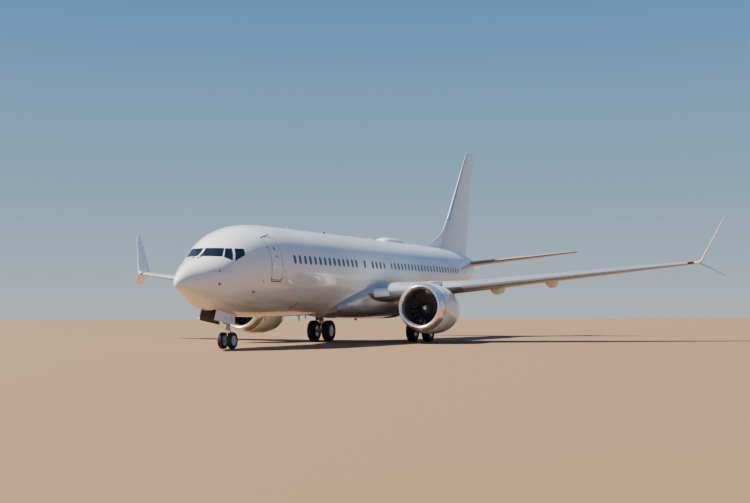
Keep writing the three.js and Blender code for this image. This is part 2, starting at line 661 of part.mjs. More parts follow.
// Wheels: two tyres on rims and the axle that joins them, turned about the X axis and centred on it
function wheelPair({ tyre, width, spacing, axle, rim }) {
  const radius = tyre / Math.cos(Math.PI / WHEEL_SIDES);
  const half = width / 2;
  const face = (side) => [
    [side * half * 0.35, rim * 0.85], [side * half * 0.88, rim],
    [side * half, (rim + tyre) / 2], [side * half * 0.62, radius],
  ];
  const profile = [[-half * 0.55, 0], ...face(-1), ...face(1).reverse(), [half * 0.55, 0]];
  const flatDown = new THREE.Matrix4().makeRotationX(Math.PI / WHEEL_SIDES);
  const lay = new THREE.Matrix4().makeRotationZ(-Math.PI / 2);
  const wheels = [-1, 1].map((side) => turned(
    profile, WHEEL_SIDES,
    new THREE.Matrix4().makeTranslation(side * spacing, 0, 0).multiply(flatDown).multiply(lay),
  ));
  const shaft = rod(at(-spacing, 0, 0), at(spacing, 0, 0), axle).rotate([180 / ROD_SIDES, 0, 0]);
  return union([...wheels, shaft]);
}

// The bore for an axle: its flats lie one seat gap off the axle's corners
function axleBore({ axle, tyre, spacing }, x, station) {
  const radius = (axle + SEAT) / Math.cos(Math.PI / ROD_SIDES);
  return rod(at(x - spacing, station, tyre), at(x + spacing, station, tyre), radius);
}

function axleHousing({ housing, housingHalf, tyre }, x, station) {
  return rod(at(x - housingHalf, station, tyre), at(x + housingHalf, station, tyre), housing);
}

function noseLeg() {
  const { station, cylinder, cylinderFoot, trunnion } = NOSE_GEAR;
  const wall = NOSE_BAY.half - SEAT;
  const braceTop = at(0, station - 1000, trunnion + 60);
  return union([
    rod(at(0, station, cylinderFoot), at(0, station, trunnion), cylinder),
    rod(at(-wall, station, trunnion), at(wall, station, trunnion), 52),
    rod(braceTop.clone().setX(-wall), braceTop.clone().setX(wall), 36),
    ...[-1, 1].map((side) => rod(at(side * 45, station, 1180), braceTop.clone().setX(side * 190), 30)),
    rod(at(0, station, 1180), at(0, station - 130, 1180), 40),
    block([-130, station - 190, 1020], [130, station - 70, 1110]),
  ]);
}

function noseFork() {
  const { station, tyre, piston, cylinder, cylinderFoot } = NOSE_GEAR;
  const collarInside = cylinder + MOVING_GAP;
  const upright = (from, to, radius) => rod(at(0, station, from), at(0, station, to), radius, radius, 16);
  const collar = upright(790, 880, collarInside + 30)
    .subtract(upright(700, 950, collarInside / Math.cos(Math.PI / 16)));
  const knee = at(0, station + 300, 640);
  const links = [
    rod(at(0, station + 50, 430), knee, 26),
    rod(knee, at(0, station + collarInside + 12, 835), 26),
    rod(at(-70, knee.y, knee.z), at(70, knee.y, knee.z), 24),
  ];
  const stem = rod(at(0, station, tyre), at(0, station, cylinderFoot - SEAT), piston);
  const { half, reach, root } = TOW_FITTING;
  const towFitting = block([-half, station - reach, tyre - 30], [half, station - root, tyre + 30]);
  return union([axleHousing(NOSE_GEAR, 0, station), stem, ...links, collar, towFitting])
    .subtract(axleBore(NOSE_GEAR, 0, station));
}

function mainLeg() {
  const { x, station, tyre, piston, cylinder, cylinderFoot, top, topX } = MAIN_GEAR;
  const knee = at(x, station + 390, 860);
  const leg = union([
    axleHousing(MAIN_GEAR, x, station),
    rod(at(x, station, tyre), at(x, station, cylinderFoot + 40), piston),
    rod(at(x, station, cylinderFoot), at(topX, station, top), cylinder),
    rod(at(x, station + 80, 640), knee, 34), rod(knee, at(x, station + 110, 1190), 34),
    rod(at(x - 90, knee.y, knee.z), at(x + 90, knee.y, knee.z), 32),
    rod(at(x, station, 1500), at(1960, station - 60, 2150), 55),
    rod(at(x + 40, station, 1750), at(2700, station - 1000, top), 50),
    rod(at(x + 40, station, 1750), at(2900, station + 700, top), 42),
    block([x + 175, station - 330, 1130], [x + 205, station + 330, 2230]),
    block([x + 60, station - 40, 1290], [x + 190, station + 40, 1370]),
    block([x + 60, station - 40, 1920], [x + 190, station + 40, 2000]),
  ]);
  const room = lowered(wingFull, SEAT).add(fairingGrown).add(axleBore(MAIN_GEAR, x, station));
  return largest(leg.subtract(room));
}

function noseDoor() {
  const { thickness, hinged, from, to, drop } = NOSE_DOOR;
  const inner = NOSE_BAY.half + 12;
  const foot = (station) => rowAt(BODY_ROWS, station)[2] + PITCH_RISE * station - drop + 60;
  const outline = [[hinged, foot(hinged) + 700], [from, foot(from)], [to, foot(to)], [to, foot(to) + 700]];
  return largest(prism('side', outline, inner, inner + thickness).subtract(bodySkin(1800, 4600, SEAT)));
}

// Wing to body fairing
function fairingRing([station, half, top, bottom], grow) {
  const middle = (top + bottom) / 2;
  return Array.from({ length: BODY_SIDES }, (_, i) => {
    const angle = (2 * Math.PI * i) / BODY_SIDES;
    const bulge = (value) => Math.sign(value) * Math.abs(value) ** (2 / FAIRING_POWER);
    return at(
      (half + grow) * bulge(Math.cos(angle)), station,
      middle + ((top - bottom) / 2 + grow) * bulge(Math.sin(angle)),
    );
  });
}
const fairingFull = (grow) => loft(FAIRING_ROWS.map((row) => fairingRing(row, grow)));
const fairingGrown = fairingFull(SEAT).add(bodySkin(12000, 25000, SEAT));

function antennaDome() {
  const rings = DOME_ROWS.map(([station, half, height]) => Array.from({ length: 20 }, (_, i) => {
    const angle = (2 * Math.PI * i) / 20;
    const reach = Math.sin(angle) > 0 ? height : 120;
    return at(half * Math.cos(angle), station, crownAt(station) + reach * Math.sin(angle) - 40);
  }));
  return largest(loft(rings).subtract(bodySkin(20000, 25000, SEAT)));
}

function finSolids() {
  const dorsal = loft(DORSAL_ROWS.map(([station, top, half]) => {
    const foot = crownAt(station) - 300;
    const waist = mix(foot, top, 0.55);
    return [
      [-1, foot], [-0.75, waist], [-0.25, top - 40], [0, top], [0.25, top - 40], [0.75, waist], [1, foot],
    ].map(([share, height]) => at(half * share, station, height));
  }));
  const full = loft(FIN_ROWS.map((row) => sectionRing(uprightSection(row))));
  const hinge = hingeLine(finSection, RUDDER.from, RUDDER.to, RUDDER.share);
  const { piece, room } = controlSurface(full, 'side', hinge, RUDDER.roomBelow, RUDDER.roomAbove);
  const fin = full.add(dorsal).subtract(bodySkin(28000, TAIL_END, SEAT)).subtract(room);
  return { fin: largest(fin), rudder: piece, hinge };
}

// Assembly
const airframe = new THREE.Group();
airframe.position.y = -LENGTH / 2;
const pivots = {};

function add(parent, name, solid, material) {
  const mesh = new THREE.Mesh(geometryOf(solid), material);
  mesh.name = name;
  parent.add(mesh);
  return mesh;
}

function mirrored(x) {
  const side = new THREE.Group();
  side.scale.x = x;
  airframe.add(side);
  return side;
}
const port = mirrored(1);
const starboard = mirrored(-1);
function addPair(name, solid, material) {
  add(port, `${name}_left`, solid, material);
  add(starboard, `${name}_right`, solid, material);
}

function buildBody() {
  const noseCuts = [];
  const mainCuts = [];
  Object.entries(ENTRY_DOORS).forEach(([name, door]) => {
    const { panel, recess } = doorPanel(door);
    addPair(name, panel, materials.paint);
    (door.station < NOSE_SECTION_STATION ? noseCuts : mainCuts).push(recess, recess.mirror([1, 0, 0]));
  });
  Object.entries(CARGO_DOORS).forEach(([name, door]) => {
    const { panel, recess } = doorPanel(door);
    add(starboard, name, panel, materials.paint);
    mainCuts.push(recess.mirror([1, 0, 0]));
  });
  Object.entries(EXIT_STATIONS).forEach(([place, station]) => {
    const { panel, recess, pivot } = exitPanel(station);
    addPair(`exit_${place}`, panel, materials.paint);
    mainCuts.push(recess, recess.mirror([1, 0, 0]));
    pivots[`exit_${place}`] = { at: pivot, axis: at(0, 1, 0) };
  });
  const glass = skinPanel(
    GLASS_OUTLINE, GLASS_OUTLINE, GLASS_DEPTH, GLASS_SPAN, [CENTRE_POST / 2 + SEAT, FAR],
  );
  const glassRecess = prism('side', GLASS_OUTLINE.map(([s, z]) => [
    s + Math.sign(s - 2300) * SEAT, z + Math.sign(z - 3850) * SEAT,
  ]), CENTRE_POST / 2, FAR).subtract(bodySkin(...wholeRows(...GLASS_SPAN), -GLASS_DEPTH - SEAT));
  addPair('cockpit_glass', glass.panel, materials.glass);
  noseCuts.push(glassRecess, glassRecess.mirror([1, 0, 0]));
  noseCuts.push(block([-NOSE_BAY.half, NOSE_BAY.from, 0], [NOSE_BAY.half, NOSE_BAY.to, NOSE_BAY.roof]));
  const join = SEAT / 2;
  const noseFront = RADOME_STATION + MOVING_GAP / 2;
  const nose = bodySkin(noseFront, NOSE_SECTION_STATION - join);
  add(airframe, 'fuselage_nose', nose.subtract(union(noseCuts)), materials.paint);
  const cabin = bodySkin(NOSE_SECTION_STATION + join, TAIL_CONE_STATION - join);
  add(airframe, 'fuselage_cabin', cabin.subtract(union(mainCuts)), materials.paint);
  add(airframe, 'tail_cone', bodySkin(TAIL_CONE_STATION + join, TAIL_END), materials.paint);
  add(airframe, 'belly_fairing',
    largest(fairingFull(0).subtract(bodySkin(12000, 25000, SEAT))), materials.belly);
  add(airframe, 'antenna_dome', antennaDome(), materials.paint);
}

// The radome hangs from two lugs level with the top of its rim
function buildRadome() {
  const rim = RADOME_STATION - MOVING_GAP / 2;
  const top = crownAt(RADOME_STATION);
  const lugs = [-1, 1].map((side) => block(
    [side * 70 - 25, rim - 60, top - 60], [side * 70 + 25, rim + MOVING_GAP - SEAT, top - 6],
  ).intersect(bodySkin(1000, 1600, -2)));
  add(airframe, 'radome', union([bodySkin(0, rim), ...lugs]), materials.paint);
  pivots.radome = { at: at(0, RADOME_STATION, top), axis: at(1, 0, 0) };
}

function buildWing() {
  const aileronHinge = hingeLine(wingSection, AILERON.from, AILERON.to, AILERON.share);
  const aileron = controlSurface(wingFull, 'plan', aileronHinge);
  const spoiler = spoilerPanel();
  const slatRoom = prism('plan', strip(wingSection, SLAT.from, SLAT.to, -0.3, SLAT.share), 0, SKY);
  const slatOutline = strip(
    wingSection, SLAT.from + PANEL_GAP, SLAT.to - PANEL_GAP, -0.3, SLAT.share - SHARE_GAP,
  );
  const slat = prism('plan', slatOutline, 0, SKY).intersect(wingFull);
  let wing = wingFull.subtract(slatRoom).subtract(aileron.room).subtract(spoiler.room);
  const flapCuts = [];
  Object.entries(FLAPS).forEach(([name, { from, to }]) => {
    const outline = strip(wingSection, from - PANEL_GAP, to + PANEL_GAP, FLAP_SHARE, 1.4);
    const room = prism('plan', outline, 0, SKY);
    const flap = prism('plan', strip(wingSection, from, to, FLAP_SHARE + SHARE_GAP, 1.4), 0, SKY)
      .intersect(wingFull).subtract(fairingGrown);
    flapCuts.push(lowered(room.intersect(wingFull), SEAT));
    wing = wing.subtract(room);
    addPair(name, largest(flap), materials.composite);
  });
  const tracks = union(TRACK_STATIONS.map(trackFairing)).subtract(union(flapCuts));
  wing = largest(wing.add(tracks).subtract(fairingGrown));
  addPair('wing', wing, materials.composite);
  addPair('slats', slat, materials.bare);
  addPair('aileron', aileron.piece, materials.composite);
  addPair('spoilers', spoiler.piece, materials.composite);
  pivots.aileron = { at: aileronHinge.start, to: aileronHinge.end };
  pivots.spoilers = { at: spoiler.start, to: spoiler.end };
  const blade = loft(WINGLET_ROWS.map((row) => sectionRing(cantedSection(row))));
  const strake = loft(STRAKE_ROWS.map((row) => sectionRing(cantedSection(row))));
  const inboard = block([0, 20000, 0], [WING_TIP + SEAT, 27000, SKY]);
  addPair('winglet', largest(blade.add(strake).subtract(inboard)), materials.paint);
}

function buildTail() {
  const { fin, rudder, hinge } = finSolids();
  add(airframe, 'fin', fin, materials.paint);
  add(airframe, 'rudder', rudder, materials.paint);
  pivots.rudder = { at: hinge.start, to: hinge.end };
  const full = loft(STABILIZER_ROWS.map((row) => sectionRing(levelSection(row, 0))));
  const tail = bodySkin(33000, TAIL_END, SEAT);
  const elevatorHinge = hingeLine(stabilizerSection, ELEVATOR.from, ELEVATOR.to, ELEVATOR.share);
  const elevator = controlSurface(full, 'plan', elevatorHinge);
  addPair('stabilizer', largest(full.subtract(elevator.room).subtract(tail)), materials.paint);
  addPair('elevator', elevator.piece, materials.paint);
  pivots.elevator = { at: elevatorHinge.start, to: elevatorHinge.end };
}

function buildEngines() {
  Object.entries(nacelleSolids()).forEach(([name, [solid, material]]) => addPair(name, solid, material));
  const fan = fanSolid();
  [['left', 1], ['right', -1]].forEach(([side, sign]) => {
    const mount = new THREE.Group();
    mount.position.set(sign * ENGINE.x, ENGINE.station, ENGINE.height);
    mount.rotation.x = -ENGINE.droop * DEGREE;
    airframe.add(mount);
    add(mount, `fan_${side}`, fan, materials.blade);
  });
  pivots.fan = { at: at(ENGINE.x, ENGINE.station, ENGINE.height), axis: engineAxis };
}

function buildGear() {
  add(airframe, 'nose_leg', noseLeg(), materials.strut);
  add(airframe, 'nose_fork', noseFork(), materials.strut);
  add(airframe, 'nose_wheels', wheelPair(NOSE_GEAR), materials.rubber)
    .position.set(0, NOSE_GEAR.station, NOSE_GEAR.tyre);
  addPair('nose_gear_door', noseDoor(), materials.paint);
  addPair('main_leg', mainLeg(), materials.strut);
  const wheels = wheelPair(MAIN_GEAR);
  [['left', port], ['right', starboard]].forEach(([side, parent]) => {
    add(parent, `main_wheels_${side}`, wheels, materials.rubber)
      .position.set(MAIN_GEAR.x, MAIN_GEAR.station, MAIN_GEAR.tyre);
  });
  pivots.nose_steering = { at: at(0, NOSE_GEAR.station, NOSE_GEAR.cylinderFoot), axis: at(0, 0, 1) };
  pivots.nose_wheels = { at: at(0, NOSE_GEAR.station, NOSE_GEAR.tyre), axis: at(1, 0, 0) };
  pivots.main_wheels = { at: at(MAIN_GEAR.x, MAIN_GEAR.station, MAIN_GEAR.tyre), axis: at(1, 0, 0) };
}

buildBody();
buildRadome();
buildWing();
buildTail();
buildEngines();
buildGear();

const airliner = new THREE.Group();
airliner.add(airframe);
airliner.userData.pivots = pivots;
export default airliner;
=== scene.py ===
import math

import bpy
import numpy as np
from mathutils import Matrix, Vector


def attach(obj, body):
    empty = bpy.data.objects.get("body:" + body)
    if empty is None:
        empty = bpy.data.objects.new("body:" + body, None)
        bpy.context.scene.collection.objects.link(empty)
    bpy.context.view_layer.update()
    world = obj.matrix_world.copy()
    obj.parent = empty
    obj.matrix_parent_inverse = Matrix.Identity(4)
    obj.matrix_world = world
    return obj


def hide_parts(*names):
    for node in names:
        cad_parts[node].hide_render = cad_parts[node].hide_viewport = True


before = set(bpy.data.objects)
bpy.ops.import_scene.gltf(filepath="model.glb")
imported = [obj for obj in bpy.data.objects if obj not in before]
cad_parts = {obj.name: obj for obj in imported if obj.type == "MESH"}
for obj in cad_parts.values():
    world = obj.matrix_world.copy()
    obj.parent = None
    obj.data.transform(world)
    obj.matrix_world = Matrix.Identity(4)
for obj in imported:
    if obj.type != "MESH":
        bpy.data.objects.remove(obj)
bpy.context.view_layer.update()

# Every shape is laid out as (x to port, station aft of the nose tip, height), in metres, and
# moved forward by half the length when it is shown.
LENGTH = 39.52
PITCH_RISE = 0.015
MOVING_GAP = 0.006

# Fuselage sections: station, crown, belly, half width, height of the widest point
BODY_ROWS = [
    (0.00, 2.573, 2.567, 0.003, 2.57), (0.06, 2.76, 2.441, 0.122, 2.579), (0.20, 2.92, 2.357, 0.236, 2.601),
    (0.45, 3.11, 2.256, 0.375, 2.643), (0.80, 3.31, 2.122, 0.561, 2.700), (1.20, 3.50, 1.979, 0.779, 2.782),
    (1.60, 3.67, 1.814, 0.957, 2.847), (1.90, 3.82, 1.669, 1.074, 2.876), (2.20, 4.07, 1.569, 1.193, 2.896),
    (2.60, 4.37, 1.484, 1.342, 2.960), (3.00, 4.59, 1.421, 1.475, 3.040), (3.50, 4.79, 1.36, 1.61, 3.13),
    (4.00, 4.93, 1.31, 1.70, 3.20), (4.60, 5.05, 1.27, 1.78, 3.26), (5.40, 5.13, 1.23, 1.85, 3.30),
    (6.40, 5.17, 1.21, 1.88, 3.31), (8.00, 5.17, 1.20, 1.88, 3.31), (26.0, 5.17, 1.20, 1.88, 3.31),
    (28.0, 5.17, 1.30, 1.86, 3.33), (30.0, 5.15, 1.62, 1.76, 3.39), (32.0, 5.10, 2.08, 1.54, 3.52),
    (34.0, 5.01, 2.59, 1.23, 3.72), (35.5, 4.90, 3.02, 0.95, 3.90), (37.0, 4.75, 3.52, 0.60, 4.12),
    (38.0, 4.63, 3.92, 0.34, 4.28), (38.26, 4.58, 4.06, 0.25, 4.32),
]
BODY_SIDES = 128
RADOME_STATION = 1.25
NOSE_SECTION_STATION = 6.0
TAIL_CONE_STATION = 36.3
TAIL_END = 38.26

# Doors: station of the middle, sill height, width, height, corner radius
ENTRY_DOORS = {
    "entry_door": (4.98, 2.82, 0.86, 1.83, 0.17),
    "aft_door": (31.45, 3.19, 0.76, 1.65, 0.16),
}
CARGO_DOORS = {
    "cargo_door_forward": (8.50, 1.65, 1.22, 0.88, 0.11),
    "cargo_door_aft": (27.0, 1.99, 1.22, 0.84, 0.11),
}
EXIT_DOORS = {
    "exit_forward": (17.02, 3.33, 0.51, 0.97, 0.09),
    "exit_aft": (18.065, 3.33, 0.51, 0.97, 0.09),
}
DOOR_DEPTH = 0.06
DOOR_SEAM = 0.03
SIDES = (("left", 1), ("right", -1))
CORNER_STEPS = 8

# Cabin windows: stations by pitch, leaving out those that the photograph doesn't show
WINDOW_FIRST = 6.57
WINDOW_PITCH = 0.5225
WINDOWS_LEFT_OUT = (14, 16, 20, 21, 22)
WINDOW_COUNT = 45
WINDOW_HEIGHT = 3.665
WINDOW_SIZE = (0.285, 0.405, 0.13)
EXIT_WINDOW_SIZE = (0.25, 0.36, 0.11)

# Cockpit panes, each a flat outline seen from the front (x, height) or from the side (station, height)
FRONT_PANE = [(0.035, 3.70), (0.835, 3.685), (0.735, 4.05), (0.035, 4.06)]
SIDE_PANES = [
    [(2.125, 3.665), (2.405, 3.53), (2.665, 4.045), (2.435, 4.045)],
    [(2.475, 3.515), (3.07, 3.785), (3.135, 4.045), (2.735, 4.045)],
]

# Wing to body fairing: station, half width, top, bottom
FAIRING_POWER = 2.6
FAIRING_SIDES = 96
FAIRING_ROWS = [
    (12.3, 1.30, 2.00, 1.43), (13.5, 1.75, 2.60, 1.33), (15.0, 2.01, 3.05, 1.25), (17.0, 2.11, 3.20, 1.21),
    (20.5, 2.11, 3.15, 1.21), (22.3, 2.00, 2.90, 1.31), (23.6, 1.70, 2.50, 1.45), (24.6, 1.25, 2.15, 1.66),
]

# Lifting surfaces: x, leading and trailing edge station, their heights, thickness share
WING_TIP = 16.55
WING_ROWS = [
    (1.50, 14.366, 21.79, 2.419, 2.410, 0.145),
    (5.70, 16.95, 21.90, 2.760, 2.791, 0.125),
    (WING_TIP, 22.726, 24.456, 4.006, 4.068, 0.105),
]
WING_CAMBER = 0.014
STABILIZER_ROWS = [
    (0.60, 34.435, 37.82, 4.762, 4.812, 0.10),
    (7.10, 38.010, 39.50, 5.590, 5.612, 0.09),
    (7.175, 38.26, 39.52, 5.600, 5.619, 0.05),
]
FIN_ROWS = [
    (5.00, 30.64, 36.71, 0.10), (12.20, 36.890, 38.669, 0.0911), (12.38, 37.12, 38.73, 0.085),
    (12.46, 37.33, 38.75, 0.07), (12.50, 37.62, 38.76, 0.04),
]
DORSAL_ROWS = [
    (28.5, 5.55, 0.03), (31.2, 6.43, 0.10), (31.8, 6.72, 0.115), (32.2, 7.0, 0.12), (32.6, 7.36, 0.12),
    (32.9, 7.64, 0.12), (33.6, 7.66, 0.13),
]
# Winglet blade and strake: x, height, leading and trailing edge station, cant in degrees, thickness share
WINGLET_ROWS = [
    (16.5503, 4.006, 22.726, 24.456, 6, 0.105), (16.72, 4.030, 22.88, 24.44, 20, 0.10),
    (16.82, 4.090, 22.985, 24.415, 42, 0.09), (16.895, 4.190, 23.07, 24.40, 58, 0.085),
    (16.985, 4.380, 23.18, 24.42, 65, 0.08), (17.44, 5.390, 23.83, 24.64, 65, 0.08),
    (17.922, 6.430, 24.50, 24.87, 65, 0.08), (17.952, 6.490, 24.63, 24.90, 65, 0.06),
]
STRAKE_ROWS = [
    (16.64, 4.040, 22.95, 24.40, -18, 0.08), (16.90, 3.930, 23.12, 24.45, -26, 0.08),
    (17.50, 3.625, 23.76, 24.74, -28, 0.07), (17.92, 3.400, 24.25, 24.93, -29, 0.06),
]
EDGE_HALF = 0.003
FAR = 20.0
ABOVE_WING = 60.0

# Pieces of the wing and tail: limits along the surface and chord shares
SLAT = {"from": 5.95, "to": 16.25, "share": 0.13}
SLAT_BREAKS = (8.53, 11.10, 13.68)
FLAP_SHARE = 0.72
FLAPS = {"inboard_flap": (2.18, 5.35), "outboard_flap": (5.95, 12.25)}
AILERON = {"from": 12.65, "to": 16.05, "share": 0.745}
SPOILER = {"from": 6.35, "to": 10.9, "front": 0.605, "rear": 0.695, "depth": 0.045, "inset": 0.014}
ELEVATOR = {"from": 1.25, "to": 6.9, "share": 0.7}
RUDDER = {"from": 5.72, "to": 12.15, "share": 0.69, "below": 0.042, "above": 0.016}
NOSE_FIT = 0.985
ROOM_FIT = 1.03
NOSE_OVER = 0.3
TRACK_STATIONS = (3.45, 6.7, 9.45)
TRACK_LENGTH = 3.0
TRACK_AFT = 0.45
TRACK_ROWS = [(0, 0.012, 0.02), (0.15, 0.125, 0.17), (0.45, 0.19, 0.35), (0.75, 0.16, 0.34), (1, 0.012, 0.10)]

# Engine: its axis runs aft from the middle of the inlet
ENGINE = {"x": 4.83, "station": 13.9, "height": 1.78, "droop": 3}
ENGINE_SIDES = 160
LIP_PROFILE = [
    (0.330, 1.132), (0.160, 1.088), (0.050, 1.038), (0.0, 0.985), (0.045, 0.925), (0.160, 0.880),
    (0.330, 0.862),
]
COWL_OUTSIDE = [(0.332, 1.132), (0.7, 1.182), (1.3, 1.218), (2.045, 1.208)]
COWL_INSIDE = [(2.045, 0.9), (1.4, 0.9), (1.3, 0.885), (0.332, 0.862)]
SLEEVE_OUTSIDE = [(2.062, 1.208), (2.45, 1.176), (2.95, 1.08), (3.45, 0.938)]
SLEEVE_INSIDE = [(3.45, 0.926), (2.8, 0.958), (2.062, 0.9)]
CHEVRONS = 16
CHEVRON_LENGTH = 0.13
CORE_PROFILE = [(1.38, 0.4), (1.65, 0.56), (2.4, 0.62), (3.3, 0.54), (4.05, 0.4)]
PLUG_PROFILE = [(3.88, 0.27), (4.1, 0.235), (4.35, 0.18), (4.6, 0.09), (4.76, 0.012)]
SPINNER_PROFILE = [(0.70, 0.004), (0.74, 0.065), (0.82, 0.13), (0.90, 0.18), (1.00, 0.237), (1.11, 0.28)]
BLADES = 18
BLADE_MIDDLE = 1.22
BLADE_CAMBER = 0.10
VANES = 48
BLADE_ROWS = [(0.255, 0.19, 22, 0.026), (0.54, 0.24, 50, 0.015), (0.862, 0.265, 64, 0.008)]

PYLON_TOP = [(14.9, 2.95), (15.7, 3.05), (16.7, 3.08), (17.6, 2.97), (19.4, 2.56)]
PYLON_BOTTOM = [(14.9, 2.65), (15.9, 1.78), (16.9, 1.78), (18.3, 2.06), (19.3, 2.33), (19.4, 2.45)]

# Landing gear
NOSE_GEAR = {"station": 4.03, "tyre": 0.343, "width": 0.19, "spacing": 0.215, "rim": 0.195, "axle": 0.036}
MAIN_GEAR = {"station": 19.6, "tyre": 0.565, "width": 0.42, "spacing": 0.43, "rim": 0.28, "axle": 0.07}
MAIN_X = 2.86
NOSE_BAY = {"half": 0.33, "from": 2.35, "to": 4.40, "roof": 1.90, "floor": 1.40}
NOSE_SKIN_REACH = (0.9, 6.3)
LEG_WELL = {"inner": 1.4, "outer": 3.12, "from": 19.33, "to": 19.87, "floor": 1.5, "roof": 2.36}
TYRE_SIDES = 96
RIM_BOLTS = 10
WELL_X, WELL_RADIUS, WELL_ROOF = 1.02, 0.64, 1.85
WALL_MARGIN, BAY_MARGIN, WELL_MARGIN = 0.0001, 0.001, 0.01

# Satellite antenna fairing on the crown: station, half width, height, and where the painted shade on its
# rear, in the belly grey, begins
DOME_SHADE_STATION = 23.25
DOME_ROWS = [
    (20.9, 0.06, 0.01), (21.15, 0.33, 0.15), (21.8, 0.47, 0.255), (22.9, 0.48, 0.26), (23.8, 0.38, 0.17),
    (24.3, 0.06, 0.01),
]

# Light and ground: the sky's colours by height, and a soft sun by its bearing and height in degrees
FLOOR_COLOUR = (0.24, 0.137, 0.064)
SKY_COLOURS = [
    (0.0, (0.86, 0.92, 0.97)), (0.9, (0.06, 0.22, 0.62)),
    (0.10, (0.46, 0.74, 0.98)), (0.3, (0.14, 0.44, 0.92)),
]
SKY_STRENGTH = 0.62
SUN_STRENGTH = 12.0
SUN_SIZE = 3.0
SUN_COLOUR = (1.0, 0.94, 0.84)
SUN_PLACE = (211, 53)

# The photograph's camera, fitted to the wheels, nose, inlet, windows, fin tip and tail cone
CAMERA_PLACE = (23.39, -57.80, 1.265)
CAMERA_YAW, CAMERA_PITCH, CAMERA_ROLL = -21.83, 3.268, -0.165
CAMERA_FOCAL_PIXELS = 1158.4
PHOTO_WIDTH = 750
SENSOR = 36.0


def build_camera():
    yaw, pitch, roll = (math.radians(a) for a in (CAMERA_YAW, CAMERA_PITCH, CAMERA_ROLL))
    ahead = Vector((math.sin(yaw) * math.cos(pitch), math.cos(yaw) * math.cos(pitch), math.sin(pitch)))
    level = ahead.cross(Vector((0, 0, 1))).normalized()
    upright = level.cross(ahead)
    right = level * math.cos(roll) + upright * math.sin(roll)
    up = upright * math.cos(roll) - level * math.sin(roll)
    data = bpy.data.cameras.new("camera")
    data.sensor_width = SENSOR
    data.lens = SENSOR * CAMERA_FOCAL_PIXELS / PHOTO_WIDTH
    data.clip_end = 2000
    camera = bpy.data.objects.new("camera", data)
    camera.matrix_world = Matrix.Translation(CAMERA_PLACE) @ Matrix((right, up, -ahead)).transposed().to_4x4()
    bpy.context.scene.collection.objects.link(camera)
    bpy.context.scene.camera = camera


# Materials: a node graph over the Principled shader, in metres of the row frame
PANEL_JOINT = 0.004


class Look:
    def __init__(self, name, colour, roughness, metallic=0.0, coat=0.0, coat_roughness=0.05):
        self.material = bpy.data.materials.new(name)
        self.material.use_nodes = True
        self.nodes = self.material.node_tree.nodes
        self.links = self.material.node_tree.links
        self.shader = self.nodes["Principled BSDF"]
        self.shader.inputs["Base Color"].default_value = (*colour, 1)
        self.shader.inputs["Roughness"].default_value = roughness
        self.shader.inputs["Metallic"].default_value = metallic
        self.shader.inputs["Coat Weight"].default_value = coat
        self.shader.inputs["Coat Roughness"].default_value = coat_roughness
        self.place = self.nodes.new("ShaderNodeTexCoord").outputs["Object"]
        self.colour = None

    def node(self, kind, inputs, **settings):
        node = self.nodes.new(kind)
        for key, value in settings.items():
            setattr(node, key, value)
        for key, value in inputs.items():
            if isinstance(value, bpy.types.NodeSocket):
                self.links.new(value, node.inputs[key])
            else:
                node.inputs[key].default_value = value
        return node

    def stretched(self, scale):
        return self.node("ShaderNodeMapping", {"Vector": self.place, "Scale": scale}).outputs["Vector"]

    def noise(self, scale, stretch=(1, 1, 1), detail=4.0):
        inputs = {"Vector": self.stretched(stretch), "Scale": scale, "Detail": detail}
        return self.node("ShaderNodeTexNoise", inputs).outputs["Fac"]

    def remap(self, value, low, high, to_low, to_high):
        inputs = {"Value": value, "From Min": low, "From Max": high, "To Min": to_low, "To Max": to_high}
        return self.node("ShaderNodeMapRange", inputs).outputs["Result"]

    def tint(self, share, colour):
        """Mixes a colour in by the share."""
        under = self.colour or tuple(self.shader.inputs["Base Color"].default_value)
        node = self.node("ShaderNodeMix", {0: share, 6: under, 7: (*colour, 1)}, data_type="RGBA")
        self.colour = node.outputs[2]
        self.links.new(self.colour, self.shader.inputs["Base Color"])

    def roughen(self, value):
        self.links.new(value, self.shader.inputs["Roughness"])

    def bump(self, value, depth, under=None):
        inputs = {"Height": value, "Distance": depth, "Strength": 1.0}
        if under is not None:
            inputs["Normal"] = under
        normal = self.node("ShaderNodeBump", inputs).outputs["Normal"]
        self.links.new(normal, self.shader.inputs["Normal"])
        return normal

    def panels(self, across, along, width, height):
        """Skin panels by brick texture over two of the axes, X = 0, Y = 1, Z = 2: share of joint line."""
        split = self.node("ShaderNodeSeparateXYZ", {"Vector": self.place})
        flat = self.node("ShaderNodeCombineXYZ", {"X": split.outputs[along], "Y": split.outputs[across]})
        inputs = {
            "Vector": flat.outputs[0], "Scale": 1.0, "Mortar Size": PANEL_JOINT, "Mortar Smooth": 0.3,
            "Brick Width": width, "Row Height": height, "Color1": (0, 0, 0, 1), "Color2": (0.5, 0.5, 0.5, 1),
            "Mortar": (1, 1, 1, 1), "Bias": 0.0,
        }
        return self.node("ShaderNodeTexBrick", inputs)


def paint(name, colour, across=2, along=1, panel=(2.54, 0.62), dirt=0.12, roughness=0.2):
    look = Look(name, colour, roughness, coat=0.6, coat_roughness=0.04)
    bricks = look.panels(across, along, *panel)
    tone = look.remap(bricks.outputs["Color"], 0, 0.5, 0, 0.10)
    look.tint(tone, [c * 0.86 for c in colour])
    grime = look.noise(0.9, (1, 0.22, 1.6), 6)
    look.tint(look.remap(grime, 0.46, 0.78, 0, dirt), (0.46, 0.42, 0.36))
    look.tint(look.remap(bricks.outputs["Fac"], 0.2, 1, 0, 0.34), (0.25, 0.25, 0.26))
    look.roughen(look.remap(look.noise(2.5, detail=5), 0.3, 0.7, roughness - 0.06, roughness + 0.08))
    lines = look.remap(bricks.outputs["Fac"], 0, 1, 0, -1)
    look.bump(look.noise(0.55, detail=2), 0.004, look.bump(lines, 0.0012))
    return look


